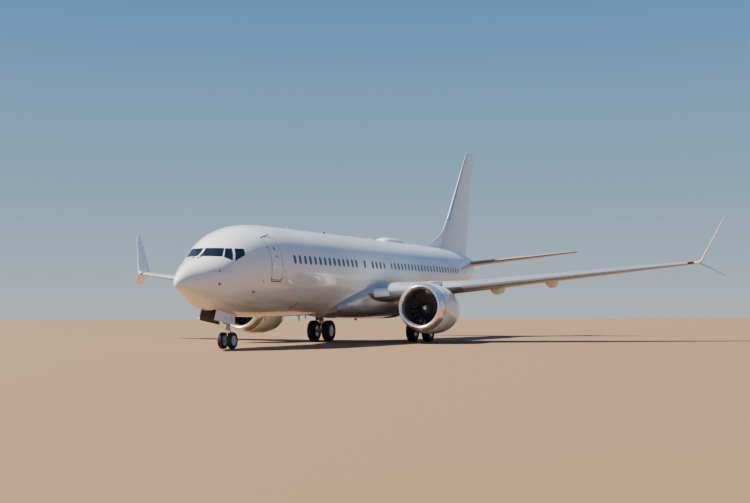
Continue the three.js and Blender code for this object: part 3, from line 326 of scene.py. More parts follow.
def build_looks():
    looks = {}
    body = paint("white_body_paint", (0.83, 0.83, 0.815), dirt=0.16)
    # Painted shade: the skin darkens in streaks towards the bottom of the fuselage, standing for the shade
    # under the body together with soot.
    split = body.node("ShaderNodeSeparateXYZ", {"Vector": body.place})
    low = body.remap(split.outputs[2], 2.5, 1.2, 0, 0.9)
    streak = body.remap(body.noise(1.4, (3.0, 0.25, 3.0), 5), 0.4, 0.75, 0, 1)
    low_shade_and_soot = body.node("ShaderNodeMath", {0: low, 1: streak}, operation="MULTIPLY").outputs[0]
    body.tint(low_shade_and_soot, (0.40, 0.36, 0.31))
    looks["body"] = body
    looks["white"] = paint("white_paint_plain", (0.83, 0.83, 0.815), 2, 0, (1.9, 0.8))
    looks["fin"] = paint("white_fin_paint", (0.80, 0.80, 0.80), 2, 1, (1.3, 1.05), dirt=0.08)
    looks["tailplane"] = paint("grey_tailplane_paint", (0.36, 0.36, 0.36), 0, 1, (0.7, 1.1), dirt=0.2)
    looks["cowl"] = paint("white_cowl_paint", (0.82, 0.82, 0.81), 2, 1, (3.4, 1.7), dirt=0.10)
    # Grey belly paint, made darker than the real grey as painted shade on the underside of the fairing and
    # leg covers.
    looks["belly"] = paint(
        "grey_belly_paint_darkened_as_shade", (0.32, 0.325, 0.325), 0, 1, (1.25, 0.85), dirt=0.45, roughness=0.3,
    )
    looks["wing"] = paint("grey_wing_paint", (0.36, 0.37, 0.38), 1, 0, (1.7, 0.62), dirt=0.25, roughness=0.33)
    # Painted shade: the undersides of the wing, flaps, aileron and stabilizers in a near-black grey, far
    # darker than the grey paint above them.
    looks["under"] = paint(
        "underside_painted_shade", (0.12, 0.13, 0.145), 1, 0, (1.7, 0.62), dirt=0.3, roughness=0.36,
    )
    looks["track"] = paint("grey_track_paint", (0.46, 0.455, 0.44), 2, 1, (1.4, 0.4), dirt=0.4, roughness=0.3)
    looks["strut"] = paint("gloss_strut_paint", (0.46, 0.47, 0.48), 2, 1, (0.9, 0.7), dirt=0.4, roughness=0.3)

    # Bare metal in a blue grey: a painted sky reflection, which also dims the floor's warm light on the slats
    # and other bare parts.
    bare = Look("bare_metal_with_painted_sky_tint", (0.50, 0.56, 0.65), 0.42, metallic=0.7)
    bare.tint(bare.remap(bare.noise(3, (1, 1, 4), 6), 0.4, 0.7, 0, 0.35), (0.36, 0.40, 0.47))
    bare.roughen(bare.remap(bare.noise(9, (0.4, 3, 3), 6), 0.3, 0.75, 0.34, 0.52))
    bare.bump(bare.noise(1.2, detail=2), 0.002)
    looks["bare"] = bare

    lip = Look("polished_lip", (0.86, 0.86, 0.87), 0.26, metallic=0.85)
    lip.tint(lip.remap(lip.noise(2.2, (1, 5, 1), 5), 0.45, 0.75, 0, 0.35), (0.52, 0.50, 0.47))
    lip.roughen(lip.remap(lip.noise(14, (1, 6, 1), 5), 0.3, 0.7, 0.2, 0.36))
    looks["lip"] = lip

    hot = Look("heat_tinted_metal", (0.36, 0.33, 0.31), 0.35, metallic=1.0)
    hot.tint(hot.remap(hot.noise(3.2, (1, 0.8, 1), 6), 0.42, 0.66, 0, 0.6), (0.27, 0.20, 0.15))
    hot.tint(hot.remap(hot.noise(1.6, (1, 2.5, 1), 3), 0.5, 0.72, 0, 0.45), (0.20, 0.24, 0.33))
    hot.roughen(hot.remap(hot.noise(20, (1, 5, 1), 5), 0.3, 0.7, 0.25, 0.5))
    looks["hot"] = hot

    blade = Look("dark_fan_blade", (0.17, 0.172, 0.18), 0.36, metallic=0.5)
    blade.tint(blade.remap(blade.noise(6, detail=5), 0.42, 0.7, 0, 0.6), (0.06, 0.06, 0.065))
    blade.roughen(blade.remap(blade.noise(30, detail=3), 0.3, 0.7, 0.24, 0.42))
    looks["blade"] = blade

    # Painted shade: the inlet and duct walls are near black, far darker than a grey liner, for the shade
    # inside the engine; the cells are the liner's perforations.
    liner = Look("inlet_liner_with_painted_shade", (0.045, 0.046, 0.05), 0.55)
    cells = liner.node("ShaderNodeTexVoronoi", {"Vector": liner.place, "Scale": 60.0}).outputs["Distance"]
    liner.tint(liner.remap(cells, 0.0, 0.35, 0.5, 0), (0.012, 0.012, 0.013))
    liner.bump(liner.remap(cells, 0, 0.4, 0, 1), 0.002)
    looks["liner"] = liner

    glass = Look("cockpit_glass", (0.008, 0.012, 0.018), 0.05, coat=0.5, coat_roughness=0.02)
    glass.tint(glass.remap(glass.noise(1.3, detail=3), 0.4, 0.7, 0, 0.4), (0.03, 0.045, 0.06))
    glass.roughen(glass.remap(glass.noise(12, detail=4), 0.3, 0.75, 0.03, 0.09))
    looks["glass"] = glass

    pane = Look("cabin_window_pane", (0.012, 0.022, 0.05), 0.1, coat=0.4, coat_roughness=0.03)
    pane.tint(pane.remap(pane.noise(2.1, detail=2), 0.35, 0.7, 0, 0.6), (0.03, 0.05, 0.10))
    looks["pane"] = pane

    rubber = Look("dark_seal", (0.045, 0.045, 0.05), 0.6)
    rubber.tint(rubber.remap(rubber.noise(20, detail=4), 0.4, 0.8, 0, 0.5), (0.12, 0.115, 0.11))
    looks["seal"] = rubber

    tyre = Look("tyre_rubber", (0.022, 0.022, 0.023), 0.75)
    tyre.tint(tyre.remap(tyre.noise(5, detail=6), 0.45, 0.8, 0, 0.5), (0.10, 0.09, 0.08))
    tyre.bump(tyre.noise(90, detail=3), 0.001)
    looks["tyre"] = tyre

    rim = Look("wheel_rim", (0.56, 0.57, 0.58), 0.32, metallic=0.7)
    rim.tint(rim.remap(rim.noise(9, detail=5), 0.45, 0.8, 0, 0.7), (0.17, 0.15, 0.13))
    rim.roughen(rim.remap(rim.noise(25, detail=4), 0.3, 0.7, 0.25, 0.5))
    looks["rim"] = rim

    chrome = Look("chromed_piston", (0.78, 0.78, 0.79), 0.08, metallic=1.0)
    chrome.roughen(chrome.remap(chrome.noise(30, (1, 1, 0.2), 3), 0.3, 0.7, 0.05, 0.14))
    looks["chrome"] = chrome

    bay = Look("bay_primer", (0.20, 0.19, 0.16), 0.5)
    bay.tint(bay.remap(bay.noise(3, (1, 1, 2.5), 6), 0.4, 0.7, 0, 0.7), (0.08, 0.07, 0.06))
    looks["bay"] = bay

    lens = Look("clear_lens", (0.75, 0.78, 0.80), 0.08, coat=1.0, coat_roughness=0.02)
    lens.tint(lens.remap(lens.noise(40, detail=2), 0.45, 0.6, 0, 0.6), (0.45, 0.48, 0.5))
    looks["lens"] = lens
    for name, colour in (("red", (0.07, 0.006, 0.006)), ("green", (0.006, 0.05, 0.016))):
        lamp = Look(f"{name}_lens", colour, 0.12, coat=1.0, coat_roughness=0.03)
        lamp.tint(lamp.remap(lamp.noise(50, detail=2), 0.45, 0.6, 0, 0.5), [c * 0.5 for c in colour])
        looks[name] = lamp
    return {name: look.material for name, look in looks.items()}


def circle(sides):
    return np.linspace(0, 2 * np.pi, sides, endpoint=False)


# Shapes: a pair of points and faces, closed, with the faces facing out
def outward(points, faces):
    points = np.asarray(points, float)
    volume = 0.0
    for face in faces:
        first = points[face[0]]
        for b, c in zip(face[1:-1], face[2:]):
            volume += first @ np.cross(points[b], points[c])
    if volume < 0:
        faces = [face[::-1] for face in faces]
    return points, faces


def merged(*shapes):
    points, faces, offset = [], [], 0
    for some_points, some_faces in shapes:
        points.append(some_points)
        faces.extend(tuple(i + offset for i in face) for face in some_faces)
        offset += len(some_points)
    return np.concatenate(points), faces


def turned_by(shape, matrix):
    points = np.c_[shape[0], np.ones(len(shape[0]))] @ np.array(matrix).T
    return points[:, :3], shape[1]


def shifted(shape, x=0.0, y=0.0, z=0.0):
    return shape[0] + np.array((x, y, z)), shape[1]


def mirrored(shape):
    return shape[0] * np.array((-1, 1, 1)), [face[::-1] for face in shape[1]]


def loft(rings, closed=False):
    """A skin through rings of equal length: capped at both ends, or joined end to end if closed."""
    rings = np.asarray(rings, float)
    count, sides = rings.shape[:2]
    points = rings.reshape(-1, 3)
    index = np.arange(sides)
    after = np.roll(index, -1)
    faces = []
    for r in range(count if closed else count - 1):
        low, high = r * sides, (r + 1) % count * sides
        faces += list(zip(low + index, low + after, high + after, high + index))
    if not closed:
        points = np.concatenate([points, rings[0].mean(0)[None], rings[-1].mean(0)[None]])
        first, last = count * sides, count * sides + 1
        end = (count - 1) * sides
        faces += [(int(b), int(a), first) for a, b in zip(index, after)]
        faces += [(int(end + a), int(end + b), last) for a, b in zip(index, after)]
    return outward(points, [tuple(int(i) for i in face) for face in faces])


AXES = {
    "x": Matrix(((0, 0, 1), (1, 0, 0), (0, 1, 0))),
    "y": Matrix(((1, 0, 0), (0, 0, 1), (0, 1, 0))),
    "z": Matrix(((1, 0, 0), (0, 1, 0), (0, 0, 1))),
}


def prism(axis, outline, low, high):
    """A flat outline carried along an axis: (station, height), (x, height) or (x, station)."""
    flat = np.array(outline, float)
    ends = [np.c_[flat, np.full(len(flat), level)] @ np.array(AXES[axis]).T for level in (low, high)]
    count = len(flat)
    faces = [tuple(range(count)), tuple(range(2 * count - 1, count - 1, -1))]
    faces += [(i, i + count, (i + 1) % count + count, (i + 1) % count) for i in range(count)]
    return outward(np.concatenate(ends), faces)


def block(low, high):
    (x0, s0, z0), (x1, s1, z1) = low, high
    return prism("z", [(x0, s0), (x1, s0), (x1, s1), (x0, s1)], z0, z1)


def frame_along(direction):
    return Vector(direction).to_track_quat("Z", "Y").to_matrix().to_4x4()


def rod(start, end, radius, end_radius=None, sides=24, bevel=0.0):
    """A rod between two points, tapered or plain, with an eased edge at each end."""
    end_radius = radius if end_radius is None else end_radius
    direction = Vector(end) - Vector(start)
    rows = [(bevel, radius), (direction.length - bevel, end_radius)]
    if bevel:
        rows = [(0, radius - bevel), *rows, (direction.length, end_radius - bevel)]
    angle = circle(sides)
    rings = [np.c_[r * np.cos(angle), r * np.sin(angle), np.full(sides, along)] for along, r in rows]
    return turned_by(loft(rings), Matrix.Translation(start) @ frame_along(direction))


def lathe(profile, sides, matrix=None, closed=False):
    """A body turned about the Y axis from (distance along it, radius) points."""
    angle = circle(sides)
    rings = [np.c_[r * np.sin(angle), np.full(sides, along), r * np.cos(angle)] for along, r in profile]
    shape = loft(rings, closed)
    return turned_by(shape, matrix) if matrix is not None else shape


def mesh_object(name, shape):
    mesh = bpy.data.meshes.new(name)
    mesh.from_pydata(shape[0].tolist(), [], shape[1])
    mesh.update()
    item = bpy.data.objects.new(name, mesh)
    bpy.context.scene.collection.objects.link(item)
    return item


def combine(operation, base, *tools):
    """UNION, DIFFERENCE or INTERSECT of closed shapes."""
    items = [mesh_object("tool", shape) for shape in (base, *tools)]
    for tool in items[1:]:
        modifier = items[0].modifiers.new("cut", "BOOLEAN")
        modifier.operation = operation
        modifier.solver = "MANIFOLD"
        modifier.object = tool
    graph = bpy.context.evaluated_depsgraph_get()
    mesh = bpy.data.meshes.new_from_object(items[0].evaluated_get(graph))
    points = np.empty(len(mesh.vertices) * 3)
    mesh.vertices.foreach_get("co", points)
    faces = [tuple(polygon.vertices) for polygon in mesh.polygons]
    for item in items:
        old = item.data
        bpy.data.objects.remove(item)
        bpy.data.meshes.remove(old)
    bpy.data.meshes.remove(mesh)
    if not faces:
        raise RuntimeError(f"{operation} left nothing")
    return points.reshape(-1, 3), faces


def without(base, *tools):
    return combine("DIFFERENCE", base, *tools)


def inside(base, *tools):
    return combine("INTERSECT", base, *tools)


LOOKS = {}


def show(shape, name, look, body="airframe", node=None, angle=32, others=()):
    """A finished piece: each pair of look and test in others repaints the faces it picks by centre."""
    item = mesh_object(name, shape)
    mesh = item.data
    mesh.materials.append(LOOKS[look])
    for index, (other, test) in enumerate(others, 1):
        mesh.materials.append(LOOKS[other])
        for polygon in mesh.polygons:
            if test(polygon.center):
                polygon.material_index = index
    mesh.shade_smooth()
    mesh.set_sharp_from_angle(angle=math.radians(angle))
    mesh.transform(Matrix.Translation((0, -LENGTH / 2, 0)))
    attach(item, body)
    if node is not None:
        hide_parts(node)
    return item


def show_pair(shape, name, look, body="airframe", node=None, angle=32, others=()):
    """The same piece on both sides: a body or node name that ends in _ gets left or right added."""
    for side, sign in SIDES:
        one = shape if sign == 1 else mirrored(shape)
        own_body = body + side if body.endswith("_") else body
        show(one, f"{name}_{side}", look, own_body, node and node + side, angle, others)


def show_sides(shape, name, look, body="airframe", node=None):
    """A shape that lies on both sides, as a piece a side, with left or right added as above."""
    for side, sign in SIDES:
        own_body = body + side if body.endswith("_") else body
        show(one_side(shape, sign), f"{name}_{side}", look, own_body, node and node + side)


# Smooth curves through rows of numbers
def monotone(places, values, wanted):
    places, values, wanted = (np.asarray(a, float) for a in (places, values, wanted))
    step = np.diff(places)[:, None]
    slope = np.diff(values, axis=0) / step
    before, after = slope[:-1], slope[1:]
    weight = (2 * step[1:] + step[:-1], step[1:] + 2 * step[:-1])
    safe = np.where(before * after > 0, before * after, 1)
    mean = (weight[0] + weight[1]) * safe / (weight[0] * after + weight[1] * before + (before * after <= 0))
    tangent = np.concatenate([slope[:1], np.where(before * after > 0, mean, 0), slope[-1:]])
    i = np.clip(np.searchsorted(places, wanted, side="right") - 1, 0, len(places) - 2)
    t = ((wanted - places[i]) / step[i, 0])[:, None]
    rise = step[i] * ((t ** 3 - 2 * t ** 2 + t) * tangent[i] + (t ** 3 - t ** 2) * tangent[i + 1])
    return values[i] * (2 * t ** 3 - 3 * t ** 2 + 1) + values[i + 1] * (3 * t ** 2 - 2 * t ** 3) + rise


def curved(points, count):
    """A smooth line through a few points, with count points along it."""
    points = np.asarray(points, float)
    along = np.concatenate([[0], np.cumsum(np.linalg.norm(np.diff(points, axis=0), axis=1))])
    return monotone(along, points, np.linspace(0, along[-1], count))


def straight(rows, places):
    rows = np.asarray(rows, float)
    columns = [np.interp(places, rows[:, 0], rows[:, i]) for i in range(rows.shape[1])]
    return np.stack(columns, 1)


# Fuselage skin
BODY_STATIONS = np.concatenate([
    np.linspace(0, 6.4 ** 0.5, 66) ** 2, np.arange(7.5, 26, 1.25), np.linspace(26.2, TAIL_END, 42),
])


def body_rows(stations):
    """Crown, belly, half width and widest height, smooth over the root of the station so the tip is round."""
    rows = np.array(BODY_ROWS)
    return monotone(np.sqrt(rows[:, 0]), rows[:, 1:], np.sqrt(stations))


def body_point(station, angle):
    """A point of the skin, by the angle up from port, and the direction square to it in the section."""
    crown, belly, half, wide = body_rows(np.array([station]))[0]
    reach = crown - wide if math.sin(angle) > 0 else wide - belly
    centre = Vector((0, station, wide + PITCH_RISE * station))
    square = Vector((math.cos(angle) / half, 0, math.sin(angle) / reach)).normalized()
    return centre + Vector((half * math.cos(angle), 0, reach * math.sin(angle))), square


def angle_at(station, height):
    crown, belly, _, wide = body_rows(np.array([station]))[0]
    above = height - wide - PITCH_RISE * station
    return math.asin(max(-1, min(1, above / (crown - wide if above > 0 else wide - belly))))


def skin(start, end, grow=0.0):
    stations = np.array([start, *BODY_STATIONS[(BODY_STATIONS > start) & (BODY_STATIONS < end)], end])
    rows = body_rows(stations)
    angle = circle(BODY_SIDES)
    rings = []
    for station, (crown, belly, half, wide) in zip(stations, rows):
        reach = np.where(np.sin(angle) > 0, crown - wide, wide - belly) + grow
        height = wide + reach * np.sin(angle) + PITCH_RISE * station
        rings.append(np.c_[max(half + grow, 0.002) * np.cos(angle), np.full(BODY_SIDES, station), height])
    return loft(rings)


def rounded(station, sill, width, height, corner, grow=0.0):
    """A rounded rectangle as (station, height) points."""
    corner = corner + grow
    outline = []
    for quarter, (side, top) in enumerate(((1, 0), (1, 1), (-1, 1), (-1, 0))):
        for step in range(CORNER_STEPS + 1):
            angle = (quarter - 1 + step / CORNER_STEPS) * math.pi / 2
            outline.append((
                station + side * (width / 2 + grow - corner) + corner * math.cos(angle),
                sill + (height + grow - corner if top else corner - grow) + corner * math.sin(angle),
            ))
    return outline


def side_prisms(outlines, sides=(1, -1), inner=0.5, outer=2.4):
    return merged(*(
        prism("x", outline, *sorted((side * inner, side * outer))) for outline in outlines for side in sides
    ))


def layer(outlines, reach, top, bottom, sides=(1, -1)):
    """What lies under outlines on the skin between two depths."""
    start, end = reach
    under = skin(start - 0.4, end + 0.4, bottom)
    return without(inside(side_prisms(outlines, sides), skin(start, end, top)), under)


def ring_layer(outlines, inner_outlines, reach, top, bottom, sides=(1, -1)):
    rings = without(side_prisms(outlines, sides), side_prisms(inner_outlines, sides, 0.4, 2.5))
    start, end = reach
    return without(inside(rings, skin(start, end, top)), skin(start - 0.4, end + 0.4, bottom))


def window_stations():
    return [WINDOW_FIRST + i * WINDOW_PITCH for i in range(WINDOW_COUNT) if i not in WINDOWS_LEFT_OUT]


def window_outline(station, size=WINDOW_SIZE, grow=0.0):
    width, height, corner = size
    middle = WINDOW_HEIGHT + PITCH_RISE * station
    return rounded(station, middle - height / 2, width, height, corner, grow)


def one_side(shape, side):
    """The half of a two-sided shape on one side."""
    keep = [face for face in shape[1] if side * shape[0][list(face), 0].mean() > 0]
    used = sorted({i for face in keep for i in face})
    where = {old: new for new, old in enumerate(used)}
    return shape[0][used], [tuple(where[i] for i in face) for face in keep]


def build_cabin():
    windows = [window_outline(s) for s in window_stations()]
    exits = [rounded(*door) for door in EXIT_DOORS.values()]
    doors = [rounded(*ENTRY_DOORS["aft_door"])]
    cargo = [rounded(*door) for door in CARGO_DOORS.values()]
    reach = (NOSE_SECTION_STATION, TAIL_CONE_STATION)
    inner = (reach[0] - 0.3, reach[1] + 0.3)
    cabin = skin(*reach)
    window_cuts = without(side_prisms(windows), skin(*inner, -0.03))
    exit_cuts = without(side_prisms([
        rounded(s, sill - MOVING_GAP, width + 2 * MOVING_GAP, height + 3 * MOVING_GAP, corner + MOVING_GAP)
        for s, sill, width, height, corner in EXIT_DOORS.values()
    ]), skin(*inner, -DOOR_DEPTH - 4 * MOVING_GAP))
    door_cuts = without(
        merged(side_prisms(doors), side_prisms(cargo, (-1,))), skin(*inner, -DOOR_DEPTH - 0.004),
    )
    cabin = without(cabin, merged(window_cuts, exit_cuts, door_cuts), wheel_wells())
    show(cabin, "cabin_skin", "body", node="fuselage_cabin")
    inset = [window_outline(s, grow=-0.010) for s in window_stations()]
    frames = ring_layer(windows, inset, reach, -0.001, -0.024)
    panes = layer(inset, reach, -0.010, -0.024)
    show_sides(frames, "window_frames", "white")
    show_sides(panes, "window_panes", "pane")
    build_doors(ENTRY_DOORS, "aft_door", reach)
    for name, door in CARGO_DOORS.items():
        panel = layer([rounded(*door, -DOOR_SEAM)], reach, 0, -DOOR_DEPTH, (-1,))
        seal = ring_layer([rounded(*door)], [rounded(*door, -DOOR_SEAM)], reach, -0.002, -0.05, (-1,))
        show(panel, name + "_panel", "body", node=name)
        show(seal, name + "_seal", "seal")
    build_exits(exits)


def build_doors(doors, name, reach):
    door = doors[name]
    station, sill, _, height, _ = door
    peep = rounded(station, sill + height * 0.68, 0.12, 0.15, 0.058)
    panel = layer([rounded(*door, -DOOR_SEAM)], reach, 0, -DOOR_DEPTH)
    peep_cut = without(side_prisms([peep]), skin(reach[0] - 0.3, reach[1] + 0.3, -0.02))
    panel = without(panel, peep_cut)
    seal = ring_layer([rounded(*door)], [rounded(*door, -DOOR_SEAM)], reach, -0.002, -0.05)
    glass = layer([peep], reach, -0.008, -0.022)
    handle = rounded(station + 0.02, sill + height * 0.52, 0.25, 0.09, 0.02)
    handle_plate = layer([handle], reach, 0.004, -0.004)
    show_sides(panel, name + "_panel", "body", node=name + "_")
    show_sides(seal, name + "_seal", "seal")
    show_sides(glass, name + "_peephole", "pane")
    show_sides(handle_plate, name + "_handle", "track")


def build_exits(exits):
    for (name, door), outline in zip(EXIT_DOORS.items(), exits):
        station = door[0]
        window = window_outline(station, EXIT_WINDOW_SIZE)
        inset = window_outline(station, EXIT_WINDOW_SIZE, -0.014)
        near = (station - 0.8, station + 0.8)
        hatch = layer([outline], near, 0, -DOOR_DEPTH)
        hatch = without(hatch, without(side_prisms([window]), skin(near[0] - 0.3, near[1] + 0.3, -0.03)))
        rim = ring_layer([window], [inset], near, -0.001, -0.024)
        glass = layer([inset], near, -0.010, -0.024)
        grip = layer([rounded(station, door[1] + door[3] - 0.16, 0.17, 0.04, 0.018)], near, 0.003, -0.003)
        body = name + "_"
        show_sides(hatch, name + "_hatch", "body", body, node=body)
        show_sides(rim, name + "_window_frame", "white", body)
        show_sides(glass, name + "_window", "pane", body)
        show_sides(grip, name + "_grip", "bare", body)


def pane_prisms(grow=0.0):
    """The cockpit panes of the port side as prisms: one seen from ahead, two from the side."""
    front = prism("y", grown(FRONT_PANE, grow), 1.3, 3.3)
    return [front, *(prism("x", grown(pane, grow), 0.55, 2.0) for pane in SIDE_PANES)]


def grown(outline, grow):
    """A convex outline with each edge moved out, then its corners cut back in a round."""
    points = np.array(outline, float)
    if np.cross(points[1] - points[0], points[2] - points[1]) < 0:
        points = points[::-1]
    moved = []
    for before, point, after in zip(np.roll(points, 1, 0), points, np.roll(points, -1, 0)):
        a, b = (point - before), (after - point)
        na, nb = (np.array((v[1], -v[0])) / np.hypot(*v) for v in (a, b))
        moved.append(point + (na + nb) * grow / (1 + na @ nb))
    return round_corners(np.array(moved), 0.035)


def round_corners(points, radius):
    outline = []
    for before, point, after in zip(np.roll(points, 1, 0), points, np.roll(points, -1, 0)):
        a = point + (before - point) / np.hypot(*(before - point)) * radius
        b = point + (after - point) / np.hypot(*(after - point)) * radius
        for t in np.linspace(0, 1, 5):
            outline.append(tuple(a * (1 - t) ** 2 + 2 * point * t * (1 - t) + b * t ** 2))
    return outline


def build_nose():
    reach = (RADOME_STATION + MOVING_GAP / 2, NOSE_SECTION_STATION)
    nose = skin(*reach)
    inner = skin(*NOSE_SKIN_REACH, -0.03)
    panes = pane_prisms()
    openings = [without(pane, inner) for pane in panes]
    both = [*openings, *(mirrored(opening) for opening in openings)]
    nose = without(nose, *both)
    door_room = side_prisms([rounded(*ENTRY_DOORS["entry_door"])])
    door_cut = without(door_room, skin(*NOSE_SKIN_REACH, -DOOR_DEPTH - 0.004))
    half, front, rear, roof = (NOSE_BAY[name] for name in ("half", "from", "to", "roof"))
    bay = block((-half, front, 0), (half, rear, roof))
    nose = without(nose, door_cut, bay)

    def in_bay(centre):
        along = front - BAY_MARGIN < centre.y < rear + BAY_MARGIN
        level = NOSE_BAY["floor"] < centre.z < roof + BAY_MARGIN
        return along and level and abs(centre.x) < half + WALL_MARGIN

    show(nose, "nose_skin", "body", node="fuselage_nose", others=[("bay", in_bay)])
    outer = skin(*NOSE_SKIN_REACH, -0.002)
    glass_front = skin(*NOSE_SKIN_REACH, -0.009)
    glass = [without(inside(pane, glass_front), skin(0.6, 6.4, -0.026)) for pane in pane_prisms(-0.016)]
    gaskets = [
        without(inside(without(pane, hole), outer), skin(0.6, 6.4, -0.026))
        for pane, hole in zip(panes, pane_prisms(-0.016))
    ]
    show_pair(merged(*glass), "cockpit_panes", "glass", node="cockpit_glass_", angle=25)
    show_pair(merged(*gaskets), "cockpit_gaskets", "seal")
    build_doors(ENTRY_DOORS, "entry_door", reach)


def build_radome():
    rim = RADOME_STATION - MOVING_GAP / 2
    shell = without(skin(0, rim), skin(0.05, rim + 0.2, -0.028))
    show(shell, "radome_shell", "body", "radome", "radome")
    top = body_point(RADOME_STATION, math.pi / 2)[0].z
    lugs = [
        block((x - 0.025, rim - 0.06, top - 0.06), (x + 0.025, rim + 0.0057, top - 0.012))
        for x in (-0.07, 0.07)
    ]
    show(merged(*lugs), "radome_lugs", "strut", "radome")
    face = RADOME_STATION + MOVING_GAP / 2
    height, bar = 2.62, face - 0.14
    dish = lathe([(0, 0.02), (0, 0.36), (0.02, 0.375), (0.045, 0.36), (0.05, 0.02)], 64,
                 Matrix.Translation((0, face - 0.34, height)))
    yoke = merged(
        rod((0, face - 0.29, height), (0, face, height), 0.05, sides=24),
        rod((-0.2, bar, height), (0.2, bar, height), 0.028, sides=16),
        *(rod((x, bar, height), (x, face, height - 0.12), 0.02, sides=16) for x in (-0.2, 0.2)),
    )
    show(dish, "radar_dish", "white")
    show(yoke, "radar_yoke", "strut")


def build_tail_cone():
    cone = skin(TAIL_CONE_STATION + 0.0003, TAIL_END)
    end = body_rows(np.array([TAIL_END]))[0]
    middle = (end[0] + end[1]) / 2 + PITCH_RISE * TAIL_END
    bore = rod((0, TAIL_END - 0.5, middle), (0, TAIL_END + 0.2, middle), 0.17, sides=48)
    show(without(cone, bore), "tail_cone_skin", "body", node="tail_cone")
    pipe = lathe([(-0.45, 0.168), (0.006, 0.168), (0.006, 0.15), (-0.45, 0.15)], 48,
                 Matrix.Translation((0, TAIL_END, middle)), closed=True)
    show(pipe, "auxiliary_exhaust", "hot")


def fairing_ring(half, top, bottom, station):
    angle = circle(FAIRING_SIDES)
    power = 2 / FAIRING_POWER
    bulge_x = np.sign(np.cos(angle)) * np.abs(np.cos(angle)) ** power
    bulge_z = np.sign(np.sin(angle)) * np.abs(np.sin(angle)) ** power
    middle, reach = (top + bottom) / 2, (top - bottom) / 2
    return np.c_[half * bulge_x, np.full(FAIRING_SIDES, station), middle + reach * bulge_z]


def fairing():
    rows = np.array(FAIRING_ROWS)
    stations = np.linspace(rows[0, 0], rows[-1, 0], 60)
    values = monotone(rows[:, 0], rows[:, 1:], stations)
    return loft([fairing_ring(*row, station) for station, row in zip(stations, values)])


def build_fairing():
    body = without(fairing(), skin(11, 26, -0.01), wheel_wells())

    def in_well(centre):
        out = math.hypot(abs(centre.x) - WELL_X, centre.y - MAIN_GEAR["station"])
        return 1.25 < centre.z < WELL_ROOF + WELL_MARGIN and out < WELL_RADIUS + WELL_MARGIN

    show(body, "wing_body_fairing", "belly", node="belly_fairing", others=[("bay", in_well)])


def wheel_wells():
    station = MAIN_GEAR["station"]
    return merged(*(
        rod((x, station, 0.9), (x, station, WELL_ROOF), WELL_RADIUS, sides=64) for x in (WELL_X, -WELL_X)
    ))


# Lifting surfaces
SHARES = (1 - np.cos(np.linspace(0, np.pi, 31))) / 2


def half_thickness(share, ratio):
    return 5 * ratio * (
        0.2969 * np.sqrt(share) - 0.126 * share
        - 0.3516 * share ** 2 + 0.2843 * share ** 3 - 0.1036 * share ** 4
    )


class Section:
    def __init__(self, lead, trail, up, ratio, camber=0.0):
        self.lead, self.trail, self.up = (np.array(p, float) for p in (lead, trail, up))
        self.ratio, self.camber = ratio, camber
        self.chord = np.linalg.norm(self.trail - self.lead)

    def point(self, share, side, drop=0.0):
        half = self.chord * half_thickness(share, self.ratio) + EDGE_HALF * share
        rise = self.chord * 4 * self.camber * share * (1 - share) + side * half - drop
        return self.lead + (self.trail - self.lead) * share + self.up * rise

    def ring(self, drop=0.0):
        upper = [self.point(share, 1, drop) for share in SHARES[::-1]]
        return upper + [self.point(share, -1, drop) for share in SHARES[1:]]

    def station(self, share):
        return self.lead[1] + (self.trail[1] - self.lead[1]) * share


def surface_row(rows, place):
    """A row of a surface at any place, with the thickness itself in proportion."""
    row = straight(rows, [place])[0]
    thickness = straight([(r[0], r[-1] * (r[2] - r[1])) for r in rows], [place])[0][1]
    return [*row[:-1], thickness / (row[2] - row[1])]


def level_section(rows, x, camber=0.0):
    x, lead, trail, lead_z, trail_z, ratio = surface_row(rows, x)
    return Section((x, lead, lead_z), (x, trail, trail_z), (0, 0, 1), ratio, camber)


def wing_section(x):
    return level_section(WING_ROWS, x, WING_CAMBER)


def stabilizer_section(x):
    return level_section(STABILIZER_ROWS, x)


def fin_section(height):
    height, lead, trail, ratio = surface_row(FIN_ROWS, height)
    return Section((0, lead, height), (0, trail, height), (1, 0, 0), ratio)


def canted_section(row):
    x, height, lead, trail, cant, ratio = row
    cant = math.radians(cant)
    rise = PITCH_RISE * (trail - lead)
    return Section((x, lead, height), (x, trail, height + rise), (-math.sin(cant), 0, math.cos(cant)), ratio)


def under_side(section_of, rows):
    """A test that picks the faces below the mean line of a wing or stabilizer."""
    def below(centre):
        section = section_of(min(max(abs(centre.x), rows[0][0]), rows[-1][0]))
        share = min(max((centre.y - section.lead[1]) / section.chord, 0), 1)
        return centre.z < section.point(share, 0)[2]

    return below


def surface(section_of, places, drop=0.0):
    return loft([section_of(place).ring(drop) for place in places])


def spanwise(rows, count):
    """Places along a surface, with the rows themselves among them."""
    ends = [row[0] for row in rows]
    return sorted(set(ends) | set(np.round(np.linspace(ends[0], ends[-1], count), 4)))


def strip(section_of, start, end, front, rear):
    first, last = section_of(start), section_of(end)
    return [(start, first.station(front)), (end, last.station(front)),
            (end, last.station(rear)), (start, first.station(rear))]


